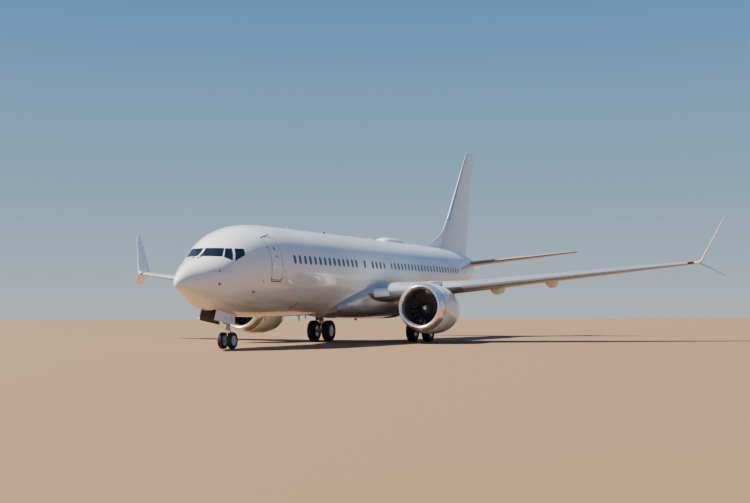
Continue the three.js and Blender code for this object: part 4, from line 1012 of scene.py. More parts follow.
class Hinge:
    """A hinge line along the mean line of a surface, with the half thickness at each end."""

    def __init__(self, section_of, start, end, share):
        sections = [section_of(place) for place in (start, end)]
        self.ends = [section.point(share, 0) for section in sections]
        self.halves = [s.chord * half_thickness(share, s.ratio) for s in sections]
        self.length = np.linalg.norm(self.ends[1] - self.ends[0])
        self.along = (self.ends[1] - self.ends[0]) / self.length

    def behind(self, view, grow):
        """Everything aft of the line, in the plane of the surface."""
        pick = (0, 1) if view == "z" else (1, 2)
        a, b = (end[list(pick)] for end in self.ends)
        along = (b - a) / np.linalg.norm(b - a)
        aft = np.array((-along[1], along[0]) if view == "z" else (along[1], -along[0]))
        outline = [a - along * FAR - aft * grow, b + along * FAR - aft * grow,
                   b + along * FAR + aft * FAR, a - along * FAR + aft * FAR]
        return prism(view, outline, -FAR, FAR)

    def slab(self, view, before, after):
        """What lies between the ends: square to the line, or level in the side view."""
        start, end = self.ends
        if view == "x":
            return block((-FAR, 0, start[2] - before), (FAR, 2 * LENGTH, end[2] + after))
        return rod(start - self.along * before, end + self.along * after, FAR, sides=4)

    def nose(self, fit, grow=0.0):
        slope = (self.halves[1] - self.halves[0]) / self.length * NOSE_OVER
        radii = [fit * half + grow for half in (self.halves[0] - slope, self.halves[1] + slope)]
        over = self.along * NOSE_OVER
        return rod(self.ends[0] - over, self.ends[1] + over, *radii, sides=40)


def control_surface(full, view, hinge, before=MOVING_GAP, after=MOVING_GAP):
    whole = combine("UNION", inside(full, hinge.behind(view, 0)), hinge.nose(NOSE_FIT))
    hollow = combine("UNION", hinge.behind(view, MOVING_GAP), hinge.nose(ROOM_FIT, MOVING_GAP))
    return inside(whole, hinge.slab(view, 0, 0)), inside(hollow, hinge.slab(view, before, after))


def spoiler_panels():
    sections = [wing_section(SPOILER[side]) for side in ("from", "to")]
    start, end = (section.point(SPOILER["front"], 1) - (0, 0, SPOILER["inset"]) for section in sections)
    along = (end - start)[:2] / np.linalg.norm((end - start)[:2])
    aft = np.array((-along[1], along[0]))
    depth = [
        (SPOILER["rear"] - SPOILER["front"]) * along[0] * (s.trail[1] - s.lead[1])
        for s in sections
    ]

    def outline(side, fore, back):
        rows = [(start, -1, -fore), (end, 1, -fore), (end, 1, depth[1] + back), (start, -1, depth[0] + back)]
        return [tuple(p[:2] + along * sign * side + aft * distance) for p, sign, distance in rows]

    panel = outline(0, SPOILER["inset"], 0)
    room = outline(MOVING_GAP, SPOILER["inset"] + 2 * MOVING_GAP, 2 * MOVING_GAP)
    return panel, room, along, aft, start, end


def build_wing():
    places = spanwise(WING_ROWS, 24)
    full = surface(wing_section, places)
    slat_room = prism("z", strip(wing_section, SLAT["from"], SLAT["to"], -0.3, SLAT["share"]), 0, ABOVE_WING)
    hinge = Hinge(wing_section, AILERON["from"], AILERON["to"], AILERON["share"])
    aileron, aileron_room = control_surface(full, "z", hinge)
    panel, room, along, aft, start, end = spoiler_panels()
    under = surface(wing_section, places, SPOILER["depth"])
    under_room = surface(wing_section, places, SPOILER["depth"] + MOVING_GAP)
    spoiler_room = without(prism("z", room, 0, ABOVE_WING), under_room)
    spoilers = without(inside(prism("z", panel, 0, ABOVE_WING), full), under)
    slits = []
    for share in (0.25, 0.5, 0.75):
        middle = (start + (end - start) * share)[:2]
        corners = [middle - along * 0.005 - aft, middle + along * 0.005 - aft,
                   middle + along * 0.005 + aft * 2, middle - along * 0.005 + aft * 2]
        slits.append(prism("z", corners, 0, ABOVE_WING))
    spoilers = without(spoilers, *slits)
    flap_rooms, flaps = [], {}
    for name, (first, last) in FLAPS.items():
        room_strip = strip(wing_section, first - 0.003, last + 0.003, FLAP_SHARE, 1.4)
        flap_rooms.append(prism("z", room_strip, 0, ABOVE_WING))
        strip_points = strip(wing_section, first, last, FLAP_SHARE + 0.0015, 1.4)
        flaps[name] = inside(full, prism("z", strip_points, 0, ABOVE_WING))
    well = LEG_WELL
    leg_well = block((well["inner"], well["from"], well["floor"]), (well["outer"], well["to"], well["roof"]))
    wing = without(full, slat_room, aileron_room, spoiler_room, *flap_rooms, leg_well)

    # Faces below the mean line get the painted shade of the underside look.
    below = under_side(wing_section, WING_ROWS)

    def in_leg_well(centre):
        within = well["from"] - WELL_MARGIN < centre.y < well["to"] + WELL_MARGIN
        outer, roof = well["outer"] + WELL_MARGIN, well["roof"] + WELL_MARGIN
        return within and abs(centre.x) < outer and centre.z < roof

    def share_at(centre):
        section = wing_section(min(abs(centre.x), WING_TIP))
        return (centre.y - section.lead[1]) / section.chord

    def root_lamp(centre):
        return 2.15 < abs(centre.x) < 2.75 and share_at(centre) < 0.03

    def port_lamp(centre):
        return centre.x > SLAT["to"] + 0.01 and share_at(centre) < 0.125

    def starboard_lamp(centre):
        return port_lamp(Vector((-centre.x, centre.y, centre.z)))

    show_pair(wing, "wing_box", "wing", node="wing_", others=[
        ("under", below), ("bay", in_leg_well), ("lens", root_lamp),
        ("red", port_lamp), ("green", starboard_lamp),
    ])
    slats = []
    edges = [SLAT["from"], *SLAT_BREAKS, SLAT["to"]]
    for first, last in zip(edges, edges[1:]):
        room = strip(wing_section, first + 0.004, last - 0.004, -0.3, SLAT["share"] - 0.0035)
        slats.append(inside(full, prism("z", room, 0, ABOVE_WING)))
    show_pair(merged(*slats), "slat_panels", "bare", node="slats_")
    show_pair(aileron, "aileron_panel", "wing", "aileron_", node="aileron_", others=[("under", below)])
    show_pair(spoilers, "spoiler_panels", "wing", "spoilers_", node="spoilers_")
    for name, flap in flaps.items():
        show_pair(flap, name + "_panel", "wing", node=name + "_", others=[("under", below)])
    show_pair(merged(*(track_fairing(x) for x in TRACK_STATIONS)), "flap_track_fairings", "track")
    build_winglet()


def track_fairing(x):
    section = wing_section(x)
    aft_end = section.trail[1] + TRACK_AFT
    rows = np.array(TRACK_ROWS)
    shares = np.linspace(0, 1, 34) ** 1.2
    rings = []
    for share, (half, depth) in zip(shares, monotone(rows[:, 0], rows[:, 1:], shares)):
        station = aft_end - TRACK_LENGTH * (1 - share)
        chord_share = min(1.0, (station - section.lead[1]) / (section.trail[1] - section.lead[1]))
        top = section.point(chord_share, -1)[2] + 0.03 * (1 - share) - 0.015
        angle = circle(28)
        drop = np.where(np.sin(angle) > 0, 0.015, depth)
        rings.append(np.c_[x + half * np.cos(angle), np.full(28, station), top + drop * np.sin(angle)])
    return loft(rings)


def smooth_rows(rows, count):
    rows = np.array(rows)
    along = np.concatenate([[0], np.cumsum(np.hypot(np.diff(rows[:, 0]), np.diff(rows[:, 1])))])
    return monotone(along, rows, np.linspace(0, along[-1], count))


def build_winglet():
    blade = loft([canted_section(row).ring() for row in smooth_rows(WINGLET_ROWS, 44)])
    strake = loft([canted_section(row).ring() for row in smooth_rows(STRAKE_ROWS, 16)])
    show_pair(blade, "winglet_blade", "white", node="winglet_")
    show_pair(strake, "winglet_strake", "white")


def crown_at(station):
    return body_rows(np.array([station]))[0][0] + PITCH_RISE * station


def build_tail():
    full = surface(fin_section, spanwise(FIN_ROWS, 16))
    hinge = Hinge(fin_section, RUDDER["from"], RUDDER["to"], RUDDER["share"])
    rudder, room = control_surface(full, "x", hinge, RUDDER["below"], RUDDER["above"])

    def leading_edge(centre):
        section = fin_section(min(max(centre.z, FIN_ROWS[0][0]), FIN_ROWS[-1][0]))
        return centre.z > 7.6 and (centre.y - section.lead[1]) / section.chord < 0.044

    show(without(full, room), "fin_box", "fin", node="fin", others=[("bare", leading_edge)])
    show(rudder, "rudder_panel", "fin", "rudder", node="rudder")
    rings = []
    rows = np.array(DORSAL_ROWS)
    stations = np.linspace(rows[0, 0], rows[-1, 0], 56)
    for station, (top, half) in zip(stations, monotone(rows[:, 0], rows[:, 1:], stations)):
        foot = crown_at(station) - 0.3
        share = np.linspace(-1, 1, 25)
        height = foot + (top - foot) * np.sqrt(np.clip(1 - np.abs(share) ** 2.2, 0, 1))
        rings.append(np.c_[half * share, np.full(25, station), height])
    show(loft(rings), "dorsal_fillet", "fin", angle=50)
    full = surface(stabilizer_section, spanwise(STABILIZER_ROWS, 16))
    hinge = Hinge(stabilizer_section, ELEVATOR["from"], ELEVATOR["to"], ELEVATOR["share"])
    elevator, room = control_surface(full, "z", hinge)
    # Painted shade on the undersides of the stabilizers and elevators.
    shaded = [("under", under_side(stabilizer_section, STABILIZER_ROWS))]
    show_pair(without(full, room), "stabilizer_box", "tailplane", node="stabilizer_", others=shaded)
    show_pair(elevator, "elevator_panel", "tailplane", "elevator_", node="elevator_", others=shaded)


# Engines, laid out along their own axis and then set in place
ENGINE_PLACE = (
    Matrix.Translation((ENGINE["x"], ENGINE["station"], ENGINE["height"]))
    @ Matrix.Rotation(math.radians(-ENGINE["droop"]), 4, "X")
)


def engine_ring(outside, inside_line, count=24):
    profile = np.concatenate([curved(outside, count), curved(inside_line, count)])
    return lathe(profile, ENGINE_SIDES, ENGINE_PLACE, closed=True)


def sleeve():
    """The rear fan duct, its trailing edge drawn back and forth into chevrons."""
    profile = np.concatenate([curved(SLEEVE_OUTSIDE, 30), curved(SLEEVE_INSIDE, 24)])
    sides = CHEVRONS * 12
    angle = circle(sides)
    wave = np.abs((angle * CHEVRONS / (2 * np.pi)) % 1 - 0.5) * 2
    rings = []
    for along, radius in profile:
        share = np.clip((along - 3.0) / 0.45, 0, 1)
        shift = -CHEVRON_LENGTH * wave * share
        rings.append(np.c_[radius * np.sin(angle), along + shift, radius * np.cos(angle)])
    return turned_by(loft(rings, closed=True), ENGINE_PLACE)


def blade_shape(spin, rows):
    """One blade through (radius, chord, angle from the axis, thickness, axial middle) rows."""
    radial = np.array((math.sin(spin), 0, math.cos(spin)))
    around = np.array((math.cos(spin), 0, -math.sin(spin)))
    forward = np.array((0.0, 1.0, 0.0))
    share = (1 - np.cos(np.linspace(0, np.pi, 9))) / 2
    rings = []
    for radius, chord, angle, thickness, middle in rows:
        angle = math.radians(angle)
        chord_wise = around * math.sin(angle) + forward * math.cos(angle)
        thick = around * math.cos(angle) - forward * math.sin(angle)
        half = thickness * np.sqrt(np.clip(share * (1 - share), 0, 1))
        arch = chord * BLADE_CAMBER * share * (1 - share)
        centre = radial * radius + forward * middle
        upper = centre + np.outer(share - 0.5, chord_wise) * chord + np.outer(arch + half + 0.0006, thick)
        lower = centre + np.outer(share - 0.5, chord_wise) * chord + np.outer(arch - half - 0.0006, thick)
        rings.append(np.concatenate([upper, lower[::-1]]))
    return loft(rings)


def build_engines():
    lip = lathe(curved(LIP_PROFILE, 60), ENGINE_SIDES, ENGINE_PLACE, closed=True)
    cowl = engine_ring(COWL_OUTSIDE, COWL_INSIDE, 40)
    axis = ENGINE_PLACE.to_3x3() @ Vector((0, 1, 0))

    def engine_spot(centre):
        """Distance aft of the inlet and radius, for a point of either engine."""
        offset = Vector((abs(centre.x), centre.y, centre.z)) - ENGINE_PLACE.translation
        along = offset.dot(axis)
        return along, (offset - axis * along).length

    # The inside of the inlet and cowl, which takes the liner's painted shade.
    def lined_and_shaded(centre):
        along, radius = engine_spot(centre)
        return radius < 0.95 and along > 0.30

    def marked(centre):
        along, radius = engine_spot(centre)
        return along < 0.9 and 0.03 < radius < 0.085

    def polished(centre):
        along, radius = engine_spot(centre)
        return radius > 1.0 and along < 0.52

    # Painted shade: a 4 cm band in the seal colour round the cowl behind the polished lip, for the shadow
    # line at their joint.
    def shaded_seam(centre):
        along, radius = engine_spot(centre)
        return radius > 1.0 and 0.52 <= along < 0.56

    show_pair(lip, "inlet_lip_ring", "lip", node="inlet_lip_", others=[("liner", lined_and_shaded)])
    cowl = without(cowl, surface(wing_section, spanwise(WING_ROWS, 24)))
    show_pair(cowl, "fan_cowl_shell", "cowl", node="fan_cowl_", others=[
        ("liner", lined_and_shaded), ("lip", polished), ("seal", shaded_seam),
    ])
    show_pair(sleeve(), "reverser_sleeve_shell", "cowl", node="reverser_sleeve_")
    core = [(1.38, 0.02), *curved(CORE_PROFILE, 40), (4.05, 0.385), (3.88, 0.38), (3.88, 0.02)]
    show_pair(lathe(core, 96, ENGINE_PLACE), "core_cowl", "hot", node="engine_core_")
    show_pair(lathe(curved(PLUG_PROFILE, 24), 64, ENGINE_PLACE), "exhaust_plug", "hot")
    vane_rows = [(r, 0.34, 30 - 4 * t, 0.014, 1.74) for r, t in ((0.47, 0), (0.68, 0.5), (0.897, 1))]
    vanes = [blade_shape(2 * math.pi * i / VANES, vane_rows) for i in range(VANES)]
    show_pair(turned_by(merged(*vanes), ENGINE_PLACE), "guide_vanes", "blade")
    rows = np.array([(*row, BLADE_MIDDLE) for row in BLADE_ROWS])
    fine = monotone(rows[:, 0], rows, np.linspace(rows[0, 0], rows[-1, 0], 14))
    blades = merged(*(blade_shape(2 * math.pi * i / BLADES, fine) for i in range(BLADES)))
    hub = lathe([*curved(SPINNER_PROFILE, 24), (1.25, 0.292), (1.3795, 0.299)], 64)
    for side, sign in SIDES:
        mount = Matrix.Translation(((sign - 1) * ENGINE["x"], 0, 0)) @ ENGINE_PLACE
        show(turned_by(blades, mount), f"fan_blades_{side}", "blade", f"fan_{side}", node=f"fan_{side}")
        show(turned_by(hub, mount), f"fan_spinner_{side}", "blade", f"fan_{side}", others=[("white", marked)])
    show_pair(pylon(), "pylon_shell", "white", node="pylon_")


def pylon():
    stations = np.concatenate([14.9 + 0.8 * np.linspace(0, 1, 12) ** 2, np.linspace(15.8, 19.4, 26)])
    rings = []
    for station in stations:
        top = np.interp(station, *np.array(PYLON_TOP).T)
        bottom = np.interp(station, *np.array(PYLON_BOTTOM).T)
        nose = math.sqrt(max(0.0, 1 - (1 - min(1, (station - 14.9) / 0.9)) ** 2))
        tail = np.interp(station, (17.4, 19.4), (1, 0.25))
        half = 0.004 + 0.166 * nose * tail
        angle = circle(40)
        x = np.sign(np.cos(angle)) * np.abs(np.cos(angle)) ** 0.4
        z = np.sign(np.sin(angle)) * np.abs(np.sin(angle)) ** 0.4
        middle, reach = (top + bottom) / 2, (top - bottom) / 2
        rings.append(np.c_[ENGINE["x"] + half * x, np.full(40, station), middle + reach * z])
    return loft(rings)


# Landing gear
WHEEL_LAY = Matrix.Rotation(-math.pi / 2, 4, "Z")


def tyre_profile(half, tyre, rim, grooves):
    wall = tyre - rim
    side = [(0.80, rim), (0.93, rim + 0.018), (1.0, rim + 0.45 * wall), (0.985, rim + 0.66 * wall),
            (0.90, rim + 0.86 * wall), (0.74, rim + 0.965 * wall), (0.56, tyre - 0.002)]
    across = [(a * half, r) for a, r in side]
    right = [tuple(p) for p in curved(across, 22)]
    tread = []
    for groove in grooves:
        middle = groove * half
        tread += [(middle + 0.006, tyre), (middle + 0.004, tyre - 0.008), (middle - 0.004, tyre - 0.008),
                  (middle - 0.006, tyre)]
    left = [(-a, r) for a, r in reversed(right)]
    return [*right, *tread, *left]


def build_wheels(gear, name, body, node, x):
    half = gear["width"] / 2
    tyre, rim = gear["tyre"], gear["rim"]
    profile = tyre_profile(half, tyre, rim, (0.42, 0.14, -0.14, -0.42))
    dish = [(0.80, rim + 0.001), (0.90, rim + 0.012), (0.90, rim - 0.004), (0.74, rim * 0.93),
            (0.42, rim * 0.88), (0.36, rim * 0.78), (0.48, rim * 0.5), (0.72, rim * 0.44),
            (0.82, rim * 0.36), (0.84, 0.006)]
    outer = [(a * half, r) for a, r in dish]
    inner = [(-a * half, r) for a, r in reversed(dish)]
    tyres, rims = [], []
    for side in (-1, 1):
        place = Matrix.Translation((side * gear["spacing"], 0, 0)) @ WHEEL_LAY
        tyres.append(lathe(profile, TYRE_SIDES, place, closed=True))
        rims.append(lathe([*inner, *outer[::-1]], 72, place))
        for i in range(RIM_BOLTS):
            angle = 2 * math.pi * i / RIM_BOLTS
            spot = rim * 0.64 * math.cos(angle), rim * 0.64 * math.sin(angle)
            for face in (-1, 1):
                foot = side * gear["spacing"] + face * half * 0.40
                rims.append(rod((foot, *spot), (foot + face * half * 0.14, *spot), rim * 0.045, sides=8))
    axle = rod((-gear["spacing"], 0, 0), (gear["spacing"], 0, 0), gear["axle"], sides=32)
    centre = (x, gear["station"], tyre)
    show(shifted(merged(*tyres), *centre), name + "_tyres", "tyre", body, node)
    show(shifted(merged(*rims), *centre), name + "_rims", "rim", body)
    show(shifted(axle, *centre), name + "_axle", "chrome", body)


def build_nose_gear():
    station = NOSE_GEAR["station"]
    tyre = NOSE_GEAR["tyre"]
    wall = NOSE_BAY["half"] - 0.0003
    trunnion, foot = 1.72, 0.76
    brace = (0, station - 1.0, trunnion + 0.06)
    leg = merged(
        rod((0, station, foot), (0, station, trunnion), 0.078, sides=40, bevel=0.008),
        rod((0, station, foot + 0.005), (0, station, foot + 0.03), 0.0779, sides=40),
        rod((-wall, station, trunnion), (wall, station, trunnion), 0.052, sides=28),
        rod((-wall, *brace[1:]), (wall, *brace[1:]), 0.036, sides=24),
        rod((-0.045, station, 1.18), (-0.19, *brace[1:]), 0.03, sides=20),
        rod((0.045, station, 1.18), (0.19, *brace[1:]), 0.03, sides=20),
        rod((0, station, 1.18), (0, station - 0.13, 1.18), 0.04, sides=20),
        block((-0.13, station - 0.19, 1.02), (0.13, station - 0.07, 1.11)),
    )
    show(leg, "nose_leg_frame", "strut", node="nose_leg")
    collar = lathe([(0.79, 0.1155), (0.88, 0.1155), (0.88, 0.0845), (0.79, 0.0845)], 48,
                   Matrix.Translation((0, station, 0)) @ Matrix.Rotation(math.pi / 2, 4, "X"), closed=True)
    knee = (0, station + 0.3, 0.64)
    fork = merged(
        rod((-0.112, station, tyre), (0.112, station, tyre), 0.062, sides=36, bevel=0.006),
        rod((0, station + 0.05, 0.43), knee, 0.026, sides=18),
        rod(knee, (0, station + 0.096, 0.835), 0.026, sides=18),
        rod((-0.07, *knee[1:]), (0.07, *knee[1:]), 0.024, sides=18),
        block((-0.045, station - 0.1, tyre - 0.03), (0.045, station - 0.045, tyre + 0.03)),
        collar,
    )
    show(fork, "nose_fork_frame", "strut", "nose_fork", node="nose_fork")
    piston = rod((0, station, tyre + 0.05), (0, station, foot - 0.0005), 0.052, sides=36)
    show(piston, "nose_piston", "chrome", "nose_fork")
    build_wheels(NOSE_GEAR, "nose_wheel", "nose_wheels", "nose_wheels", 0)
    build_nose_doors()


def build_nose_doors():
    def foot_at(s):
        return straight(BODY_ROWS, [s])[0][2] + PITCH_RISE * s - 0.39

    front, first, last = 2.60, 2.30, 3.97
    outline = [
        (front, foot_at(front) + 0.7), (first, foot_at(first)), (last, foot_at(last)),
        (last, foot_at(last) + 0.7),
    ]
    door = without(prism("x", outline, 0.342, 0.368), skin(1.8, 4.6, 0.0003))
    inner = [("bay", lambda centre: abs(centre.x) < 0.3425)]
    show_pair(door, "nose_door_panel", "cowl", node="nose_gear_door_", others=inner)
    dot = rod((0.36, 3.16, 1.27), (0.371, 3.16, 1.27), 0.028, sides=20)
    line = block((0.36, 3.70, 1.10), (0.3705, 3.72, 1.42))
    show_pair(merged(dot, line), "nose_door_fittings", "seal")


def build_main_gear():
    station, x = MAIN_GEAR["station"], MAIN_X
    tyre, top, top_x, foot = MAIN_GEAR["tyre"], 2.42, 2.96, 1.08
    knee = (x, station + 0.39, 0.86)
    leg = merged(
        rod((x - 0.205, station, tyre), (x + 0.205, station, tyre), 0.12, sides=44, bevel=0.01),
        rod((x, station, foot), (top_x, station, top), 0.135, sides=48, bevel=0.01),
        rod((x, station + 0.08, 0.64), knee, 0.034, sides=18),
        rod(knee, (x, station + 0.11, 1.19), 0.034, sides=18),
        rod((x - 0.09, *knee[1:]), (x + 0.09, *knee[1:]), 0.032, sides=18),
        rod((x, station, 1.5), (1.96, station - 0.06, 2.15), 0.055, sides=24),
        rod((x + 0.04, station, 1.75), (2.7, station - 1.0, top), 0.05, sides=24),
        rod((x + 0.04, station, 1.75), (2.9, station + 0.7, top), 0.042, sides=24),
        block((x + 0.06, station - 0.04, 1.29), (x + 0.19, station + 0.04, 1.37)),
        block((x + 0.06, station - 0.04, 1.92), (x + 0.19, station + 0.04, 2.0)),
    )
    show_pair(leg, "main_leg_frame", "strut", node="main_leg_")
    piston = rod((x, station, tyre + 0.1), (x, station, foot + 0.03), 0.082, sides=40)
    show_pair(piston, "main_piston", "chrome")
    cover = block((x + 0.175, station - 0.33, 1.13), (x + 0.205, station + 0.33, 2.23))
    show_pair(cover, "main_leg_cover", "belly")
    for side, sign in SIDES:
        build_wheels(MAIN_GEAR, f"main_wheel_{side}", f"main_wheels_{side}", f"main_wheels_{side}", sign * x)


def build_dome():
    rows = np.array(DOME_ROWS)
    stations = np.linspace(rows[0, 0], rows[-1, 0], 50)
    rings = []
    for station, (half, height) in zip(stations, monotone(rows[:, 0], rows[:, 1:], stations)):
        angle = circle(48)
        reach = np.where(np.sin(angle) > 0, height, 0.12)
        up = crown_at(station) - 0.04 + reach * np.sin(angle)
        rings.append(np.c_[half * np.cos(angle), np.full(48, station), up])
    # Painted shade: the rear of the fairing takes the darker belly grey.
    painted_shade_cap = [("belly", lambda centre: centre.y > DOME_SHADE_STATION)]
    show(loft(rings), "antenna_dome_shell", "white", node="antenna_dome", others=painted_shade_cap)


# Small fittings
def build_door_fittings():
    """The bracket under each forward door's sill, the gutter over it and its hinge covers."""
    reach = (3.9, NOSE_SECTION_STATION)
    bracket = [
        (4.50, 2.93), (4.53, 2.93), (4.64, 2.79), (5.32, 2.79),
        (5.43, 2.93), (5.46, 2.93), (5.35, 2.75), (4.61, 2.75),
    ]
    gutter = [(4.46, 4.60), (5.30, 4.79), (5.30, 4.81), (4.46, 4.62)]
    hinges = [rounded(4.50, sill, 0.05, 0.10, 0.015) for sill in (3.30, 4.15)]
    show_sides(layer([bracket], reach, 0.008, -0.004), "sill_bracket", "seal")
    show_sides(layer([gutter], reach, 0.016, -0.004), "door_gutter", "body")
    show_sides(layer(hinges, reach, 0.012, -0.004), "door_hinge_covers", "bare")


def fin_blade(station, foot, tip, chord, half=0.012):
    """A swept blade antenna on the middle line, from inside the skin to its tip."""
    rows = [(foot, 0.0, chord, half), (foot + 0.85 * (tip - foot), 0.42 * chord, 0.62 * chord, half * 0.8),
            (tip, 0.60 * chord, 0.38 * chord, half * 0.45)]
    share = (1 - np.cos(np.linspace(0, np.pi, 11))) / 2
    rings = []
    for height, lead, length, thick in rows:
        width = thick * 2 * np.sqrt(np.clip(share * (1 - share), 0, 1)) + 0.0008
        upper = np.c_[width, station + lead + share * length, np.full(11, height)]
        lower = np.c_[-width[::-1], upper[::-1, 1], np.full(11, height)]
        rings.append(np.concatenate([upper, lower]))
    return loft(rings)


def dome(place, radius, height, direction=1):
    """A low round cap, up or down."""
    profile = [(-0.05, 0.004), (-0.05, radius), (0, radius), (0.4 * height, 0.93 * radius),
               (0.75 * height, 0.7 * radius), (0.95 * height, 0.35 * radius), (height, 0.004)]
    turn = Matrix.Rotation(direction * math.pi / 2, 4, "X")
    return lathe(profile, 32, Matrix.Translation(place) @ turn)


def belly_at(station):
    return body_rows(np.array([station]))[0][1] + PITCH_RISE * station


def build_antennas():
    crown = [fin_blade(s, crown_at(s) - 0.05, crown_at(s) + rise, chord) for s, rise, chord in
             ((9.4, 0.16, 0.24), (17.96, 0.36, 0.34), (26.6, 0.24, 0.30))]
    domes = [dome((0, s, crown_at(s) - 0.008), radius, rise) for s, radius, rise in
             ((7.9, 0.055, 0.03), (8.45, 0.055, 0.03), (16.9, 0.07, 0.05), (19.6, 0.09, 0.06))]
    show(merged(*crown), "crown_blade_antennas", "white")
    show(merged(*domes), "crown_antenna_caps", "white")
    belly = [fin_blade(s, belly_at(s) + 0.05, belly_at(s) - drop, chord) for s, drop, chord in
             ((7.2, 0.20, 0.26), (10.6, 0.24, 0.30), (25.9, 0.22, 0.28))]
    show(merged(*belly), "belly_blade_antennas", "white")
    show(dome((0, 13.6, crown_at(13.6) - 0.006), 0.075, 0.11), "crown_beacon", "red")
    show(dome((0, 17.6, 1.216), 0.075, 0.10, -1), "belly_beacon", "red")
    masts = [fin_blade(s, belly_at(s) + 0.04, belly_at(s) - 0.16, 0.16, 0.02) for s in (11.4, 26.4)]
    show(merged(*masts), "drain_masts", "bare")


def front_point(x, height):
    """Where the body's front passes through a point seen from ahead."""
    low, high = 0.2, 3.4
    for _ in range(40):
        station = (low + high) / 2
        crown, belly, half, wide = body_rows(np.array([station]))[0]
        above = height - wide - PITCH_RISE * station
        share = (x / half) ** 2 + (above / (crown - wide if above > 0 else wide - belly)) ** 2
        low, high = (station, high) if share > 1 else (low, station)
    return np.array((x, station, height))


def build_nose_fittings():
    tubes, pads = [], []
    for station, height in ((1.67, 3.10), (1.66, 2.59), (3.56, 2.33)):
        point, square = body_point(station, angle_at(station, height))
        out = point + square * 0.085
        tubes.append(rod(point - square * 0.02, out, 0.014, sides=14))
        tubes.append(rod(out + Vector((0, 0.03, 0)), out - Vector((0, 0.17, 0)), 0.013, 0.008, sides=14))
        pads.append(rod(point - square * 0.02, point + square * 0.004, 0.055, sides=24))
    show_pair(merged(*tubes), "pitot_probes", "hot")
    show_pair(merged(*pads), "probe_pads", "seal")
    ports = []
    for station, height in ((4.05, 2.75), (5.62, 3.20)):
        point, square = body_point(station, angle_at(station, height))
        ports.append(rod(point - square * 0.02, point + square * 0.003, 0.035, sides=20))
    show_pair(merged(*ports), "static_ports", "seal")
    dash = layer([[(7.62, 1.68), (7.70, 1.66), (7.94, 1.92), (7.87, 1.94)]], (7.0, 8.6), 0.004, -0.004)
    show_sides(dash, "air_outlet", "seal")
    line = [front_point(0.12 + 0.30 * t, 3.66 + 0.30 * t) - (0, 0.016, 0) for t in np.linspace(0, 1, 7)]
    arm = [front_point(0.10 + 0.17 * t, 3.62 + 0.19 * t) - (0, 0.034, 0) for t in np.linspace(0, 1, 4)]
    wiper = [rod(a, b, 0.009, sides=10) for a, b in zip(line, line[1:])]
    wiper += [rod(a, b, 0.012, sides=10) for a, b in zip(arm, arm[1:])]
    base = front_point(0.10, 3.62)
    wiper.append(rod(base, base - (0, 0.045, 0), 0.028, sides=16))
    show_pair(merged(*wiper), "wipers", "seal")


def build_engine_fittings():
    """The chine on the inboard side of each cowl, and the latches along its keel."""
    turn = ENGINE_PLACE @ Matrix.Rotation(math.radians(-48), 4, "Y")
    outline = [(0.75, 1.15), (1.75, 1.15), (1.75, 1.42), (1.35, 1.40), (1.0, 1.29)]
    show_pair(turned_by(prism("x", outline, -0.012, 0.012), turn), "nacelle_chine", "cowl")
    latches = []
    places = ((0.85, 1.192), (1.2, 1.214), (1.55, 1.217), (1.9, 1.21), (2.35, 1.184), (2.7, 1.138))
    for along, radius in places:
        latches.append(block((-0.03, along - 0.07, -radius - 0.008), (0.03, along + 0.07, -radius + 0.03)))
    show_pair(turned_by(merged(*latches), ENGINE_PLACE), "cowl_latches", "bare")


def build_tips():
    """Static wicks on the fixed trailing edges."""
    wicks = []
    for row in smooth_rows(WINGLET_ROWS, 9)[3:8]:
        x, height, lead, trail = row[:4]
        rise = PITCH_RISE * (trail - lead)
        wicks.append(rod((x, trail - 0.01, height + rise), (x, trail + 0.11, height + rise), 0.005, sides=8))
    for x in (6.95, 7.05):
        trail = stabilizer_section(x).trail
        wicks.append(rod(trail - (0, 0.01, 0), trail + (0, 0.01, 0), 0.005, sides=8))
    show_pair(merged(*wicks), "static_wicks", "seal")


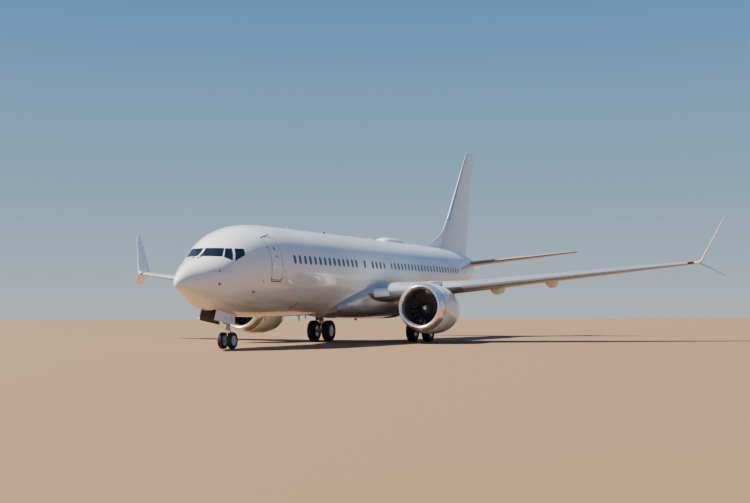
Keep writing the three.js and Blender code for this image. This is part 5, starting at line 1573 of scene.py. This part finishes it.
def build_gear_fittings():
    """Hydraulic lines and the taxi lamp on the legs."""
    s = NOSE_GEAR["station"]
    lines = [rod((x, s + 0.085, 0.80), (x, s + 0.085, 1.66), 0.011, sides=10) for x in (-0.045, 0.045)]
    lines += [rod((0.088, s - 0.01, 0.9), (0.088, s - 0.01, 1.6), 0.009, sides=10)]
    show(merged(*lines), "nose_leg_lines", "seal")
    lamp = rod((0, s - 0.19, 1.20), (0, s - 0.23, 1.20), 0.075, sides=32, bevel=0.006)
    show(rod((0, s - 0.06, 1.20), (0, s - 0.19, 1.20), 0.05, 0.078, sides=32), "taxi_lamp_case", "strut")
    show(lamp, "taxi_lamp_lens", "lens")
    station, x = MAIN_GEAR["station"], MAIN_X
    runs = []
    for side, low, high in ((-0.05, 1.0, 2.2), (0.05, 1.0, 2.2), (0.0, 1.12, 2.3)):
        ends = (x + side, station - 0.15, low), (x + side + 0.06, station - 0.15, high)
        runs.append(rod(*ends, 0.012, sides=10))
    for sign in (-1, 1):
        ends = (x + sign * 0.03, station - 0.13, 1.0), (x + sign * 0.05, station - 0.10, 0.68)
        runs.append(rod(*ends, 0.011, sides=10))
    show_pair(merged(*runs), "main_leg_lines", "seal")
    bands = []
    for share in (0.06, 0.45, 0.8):
        low, high = 1.12 + 1.24 * share, 1.16 + 1.24 * share
        ends = (x + 0.1 * share, station, low), (x + 0.1 * (share + 0.03), station, high)
        bands.append(rod(*ends, 0.142, sides=40))
    show_pair(merged(*bands), "main_leg_bands", "bare")


def build_stage():
    size = 900
    floor = mesh_object("floor", block((-size, -size, -0.5), (size, size, -0.0005)))
    look = Look("plain_floor", FLOOR_COLOUR, 0.85)
    floor.data.materials.append(look.material)
    world = bpy.data.worlds.new("sky")
    bpy.context.scene.world = world
    world.use_nodes = True
    nodes, links = world.node_tree.nodes, world.node_tree.links
    place = nodes.new("ShaderNodeTexCoord").outputs["Generated"]
    split = nodes.new("ShaderNodeSeparateXYZ")
    links.new(place, split.inputs[0])
    ramp = nodes.new("ShaderNodeValToRGB")
    stops = ramp.color_ramp.elements
    stops[0].position, stops[0].color = 0.0, (*SKY_COLOURS[0][1], 1)
    stops[1].position, stops[1].color = SKY_COLOURS[1][0], (*SKY_COLOURS[1][1], 1)
    for position, colour in SKY_COLOURS[2:]:
        stop = stops.new(position)
        stop.color = (*colour, 1)
    links.new(split.outputs[2], ramp.inputs[0])
    links.new(ramp.outputs[0], nodes["Background"].inputs[0])
    nodes["Background"].inputs[1].default_value = SKY_STRENGTH
    sun = bpy.data.lights.new("sun", "SUN")
    sun.energy = SUN_STRENGTH
    sun.angle = math.radians(SUN_SIZE)
    sun.color = SUN_COLOUR
    lamp = bpy.data.objects.new("sun", sun)
    turn, height = (math.radians(a) for a in SUN_PLACE)
    toward = Vector((math.cos(turn) * math.cos(height), math.sin(turn) * math.cos(height), math.sin(height)))
    lamp.rotation_euler = toward.to_track_quat("Z", "Y").to_euler()
    bpy.context.scene.collection.objects.link(lamp)


def main():
    LOOKS.update(build_looks())
    build_camera()
    build_stage()
    build_nose()
    build_radome()
    build_cabin()
    build_tail_cone()
    build_fairing()
    build_wing()
    build_tail()
    build_engines()
    build_nose_gear()
    build_main_gear()
    build_dome()
    build_door_fittings()
    build_antennas()
    build_nose_fittings()
    build_engine_fittings()
    build_tips()
    build_gear_fittings()


main()
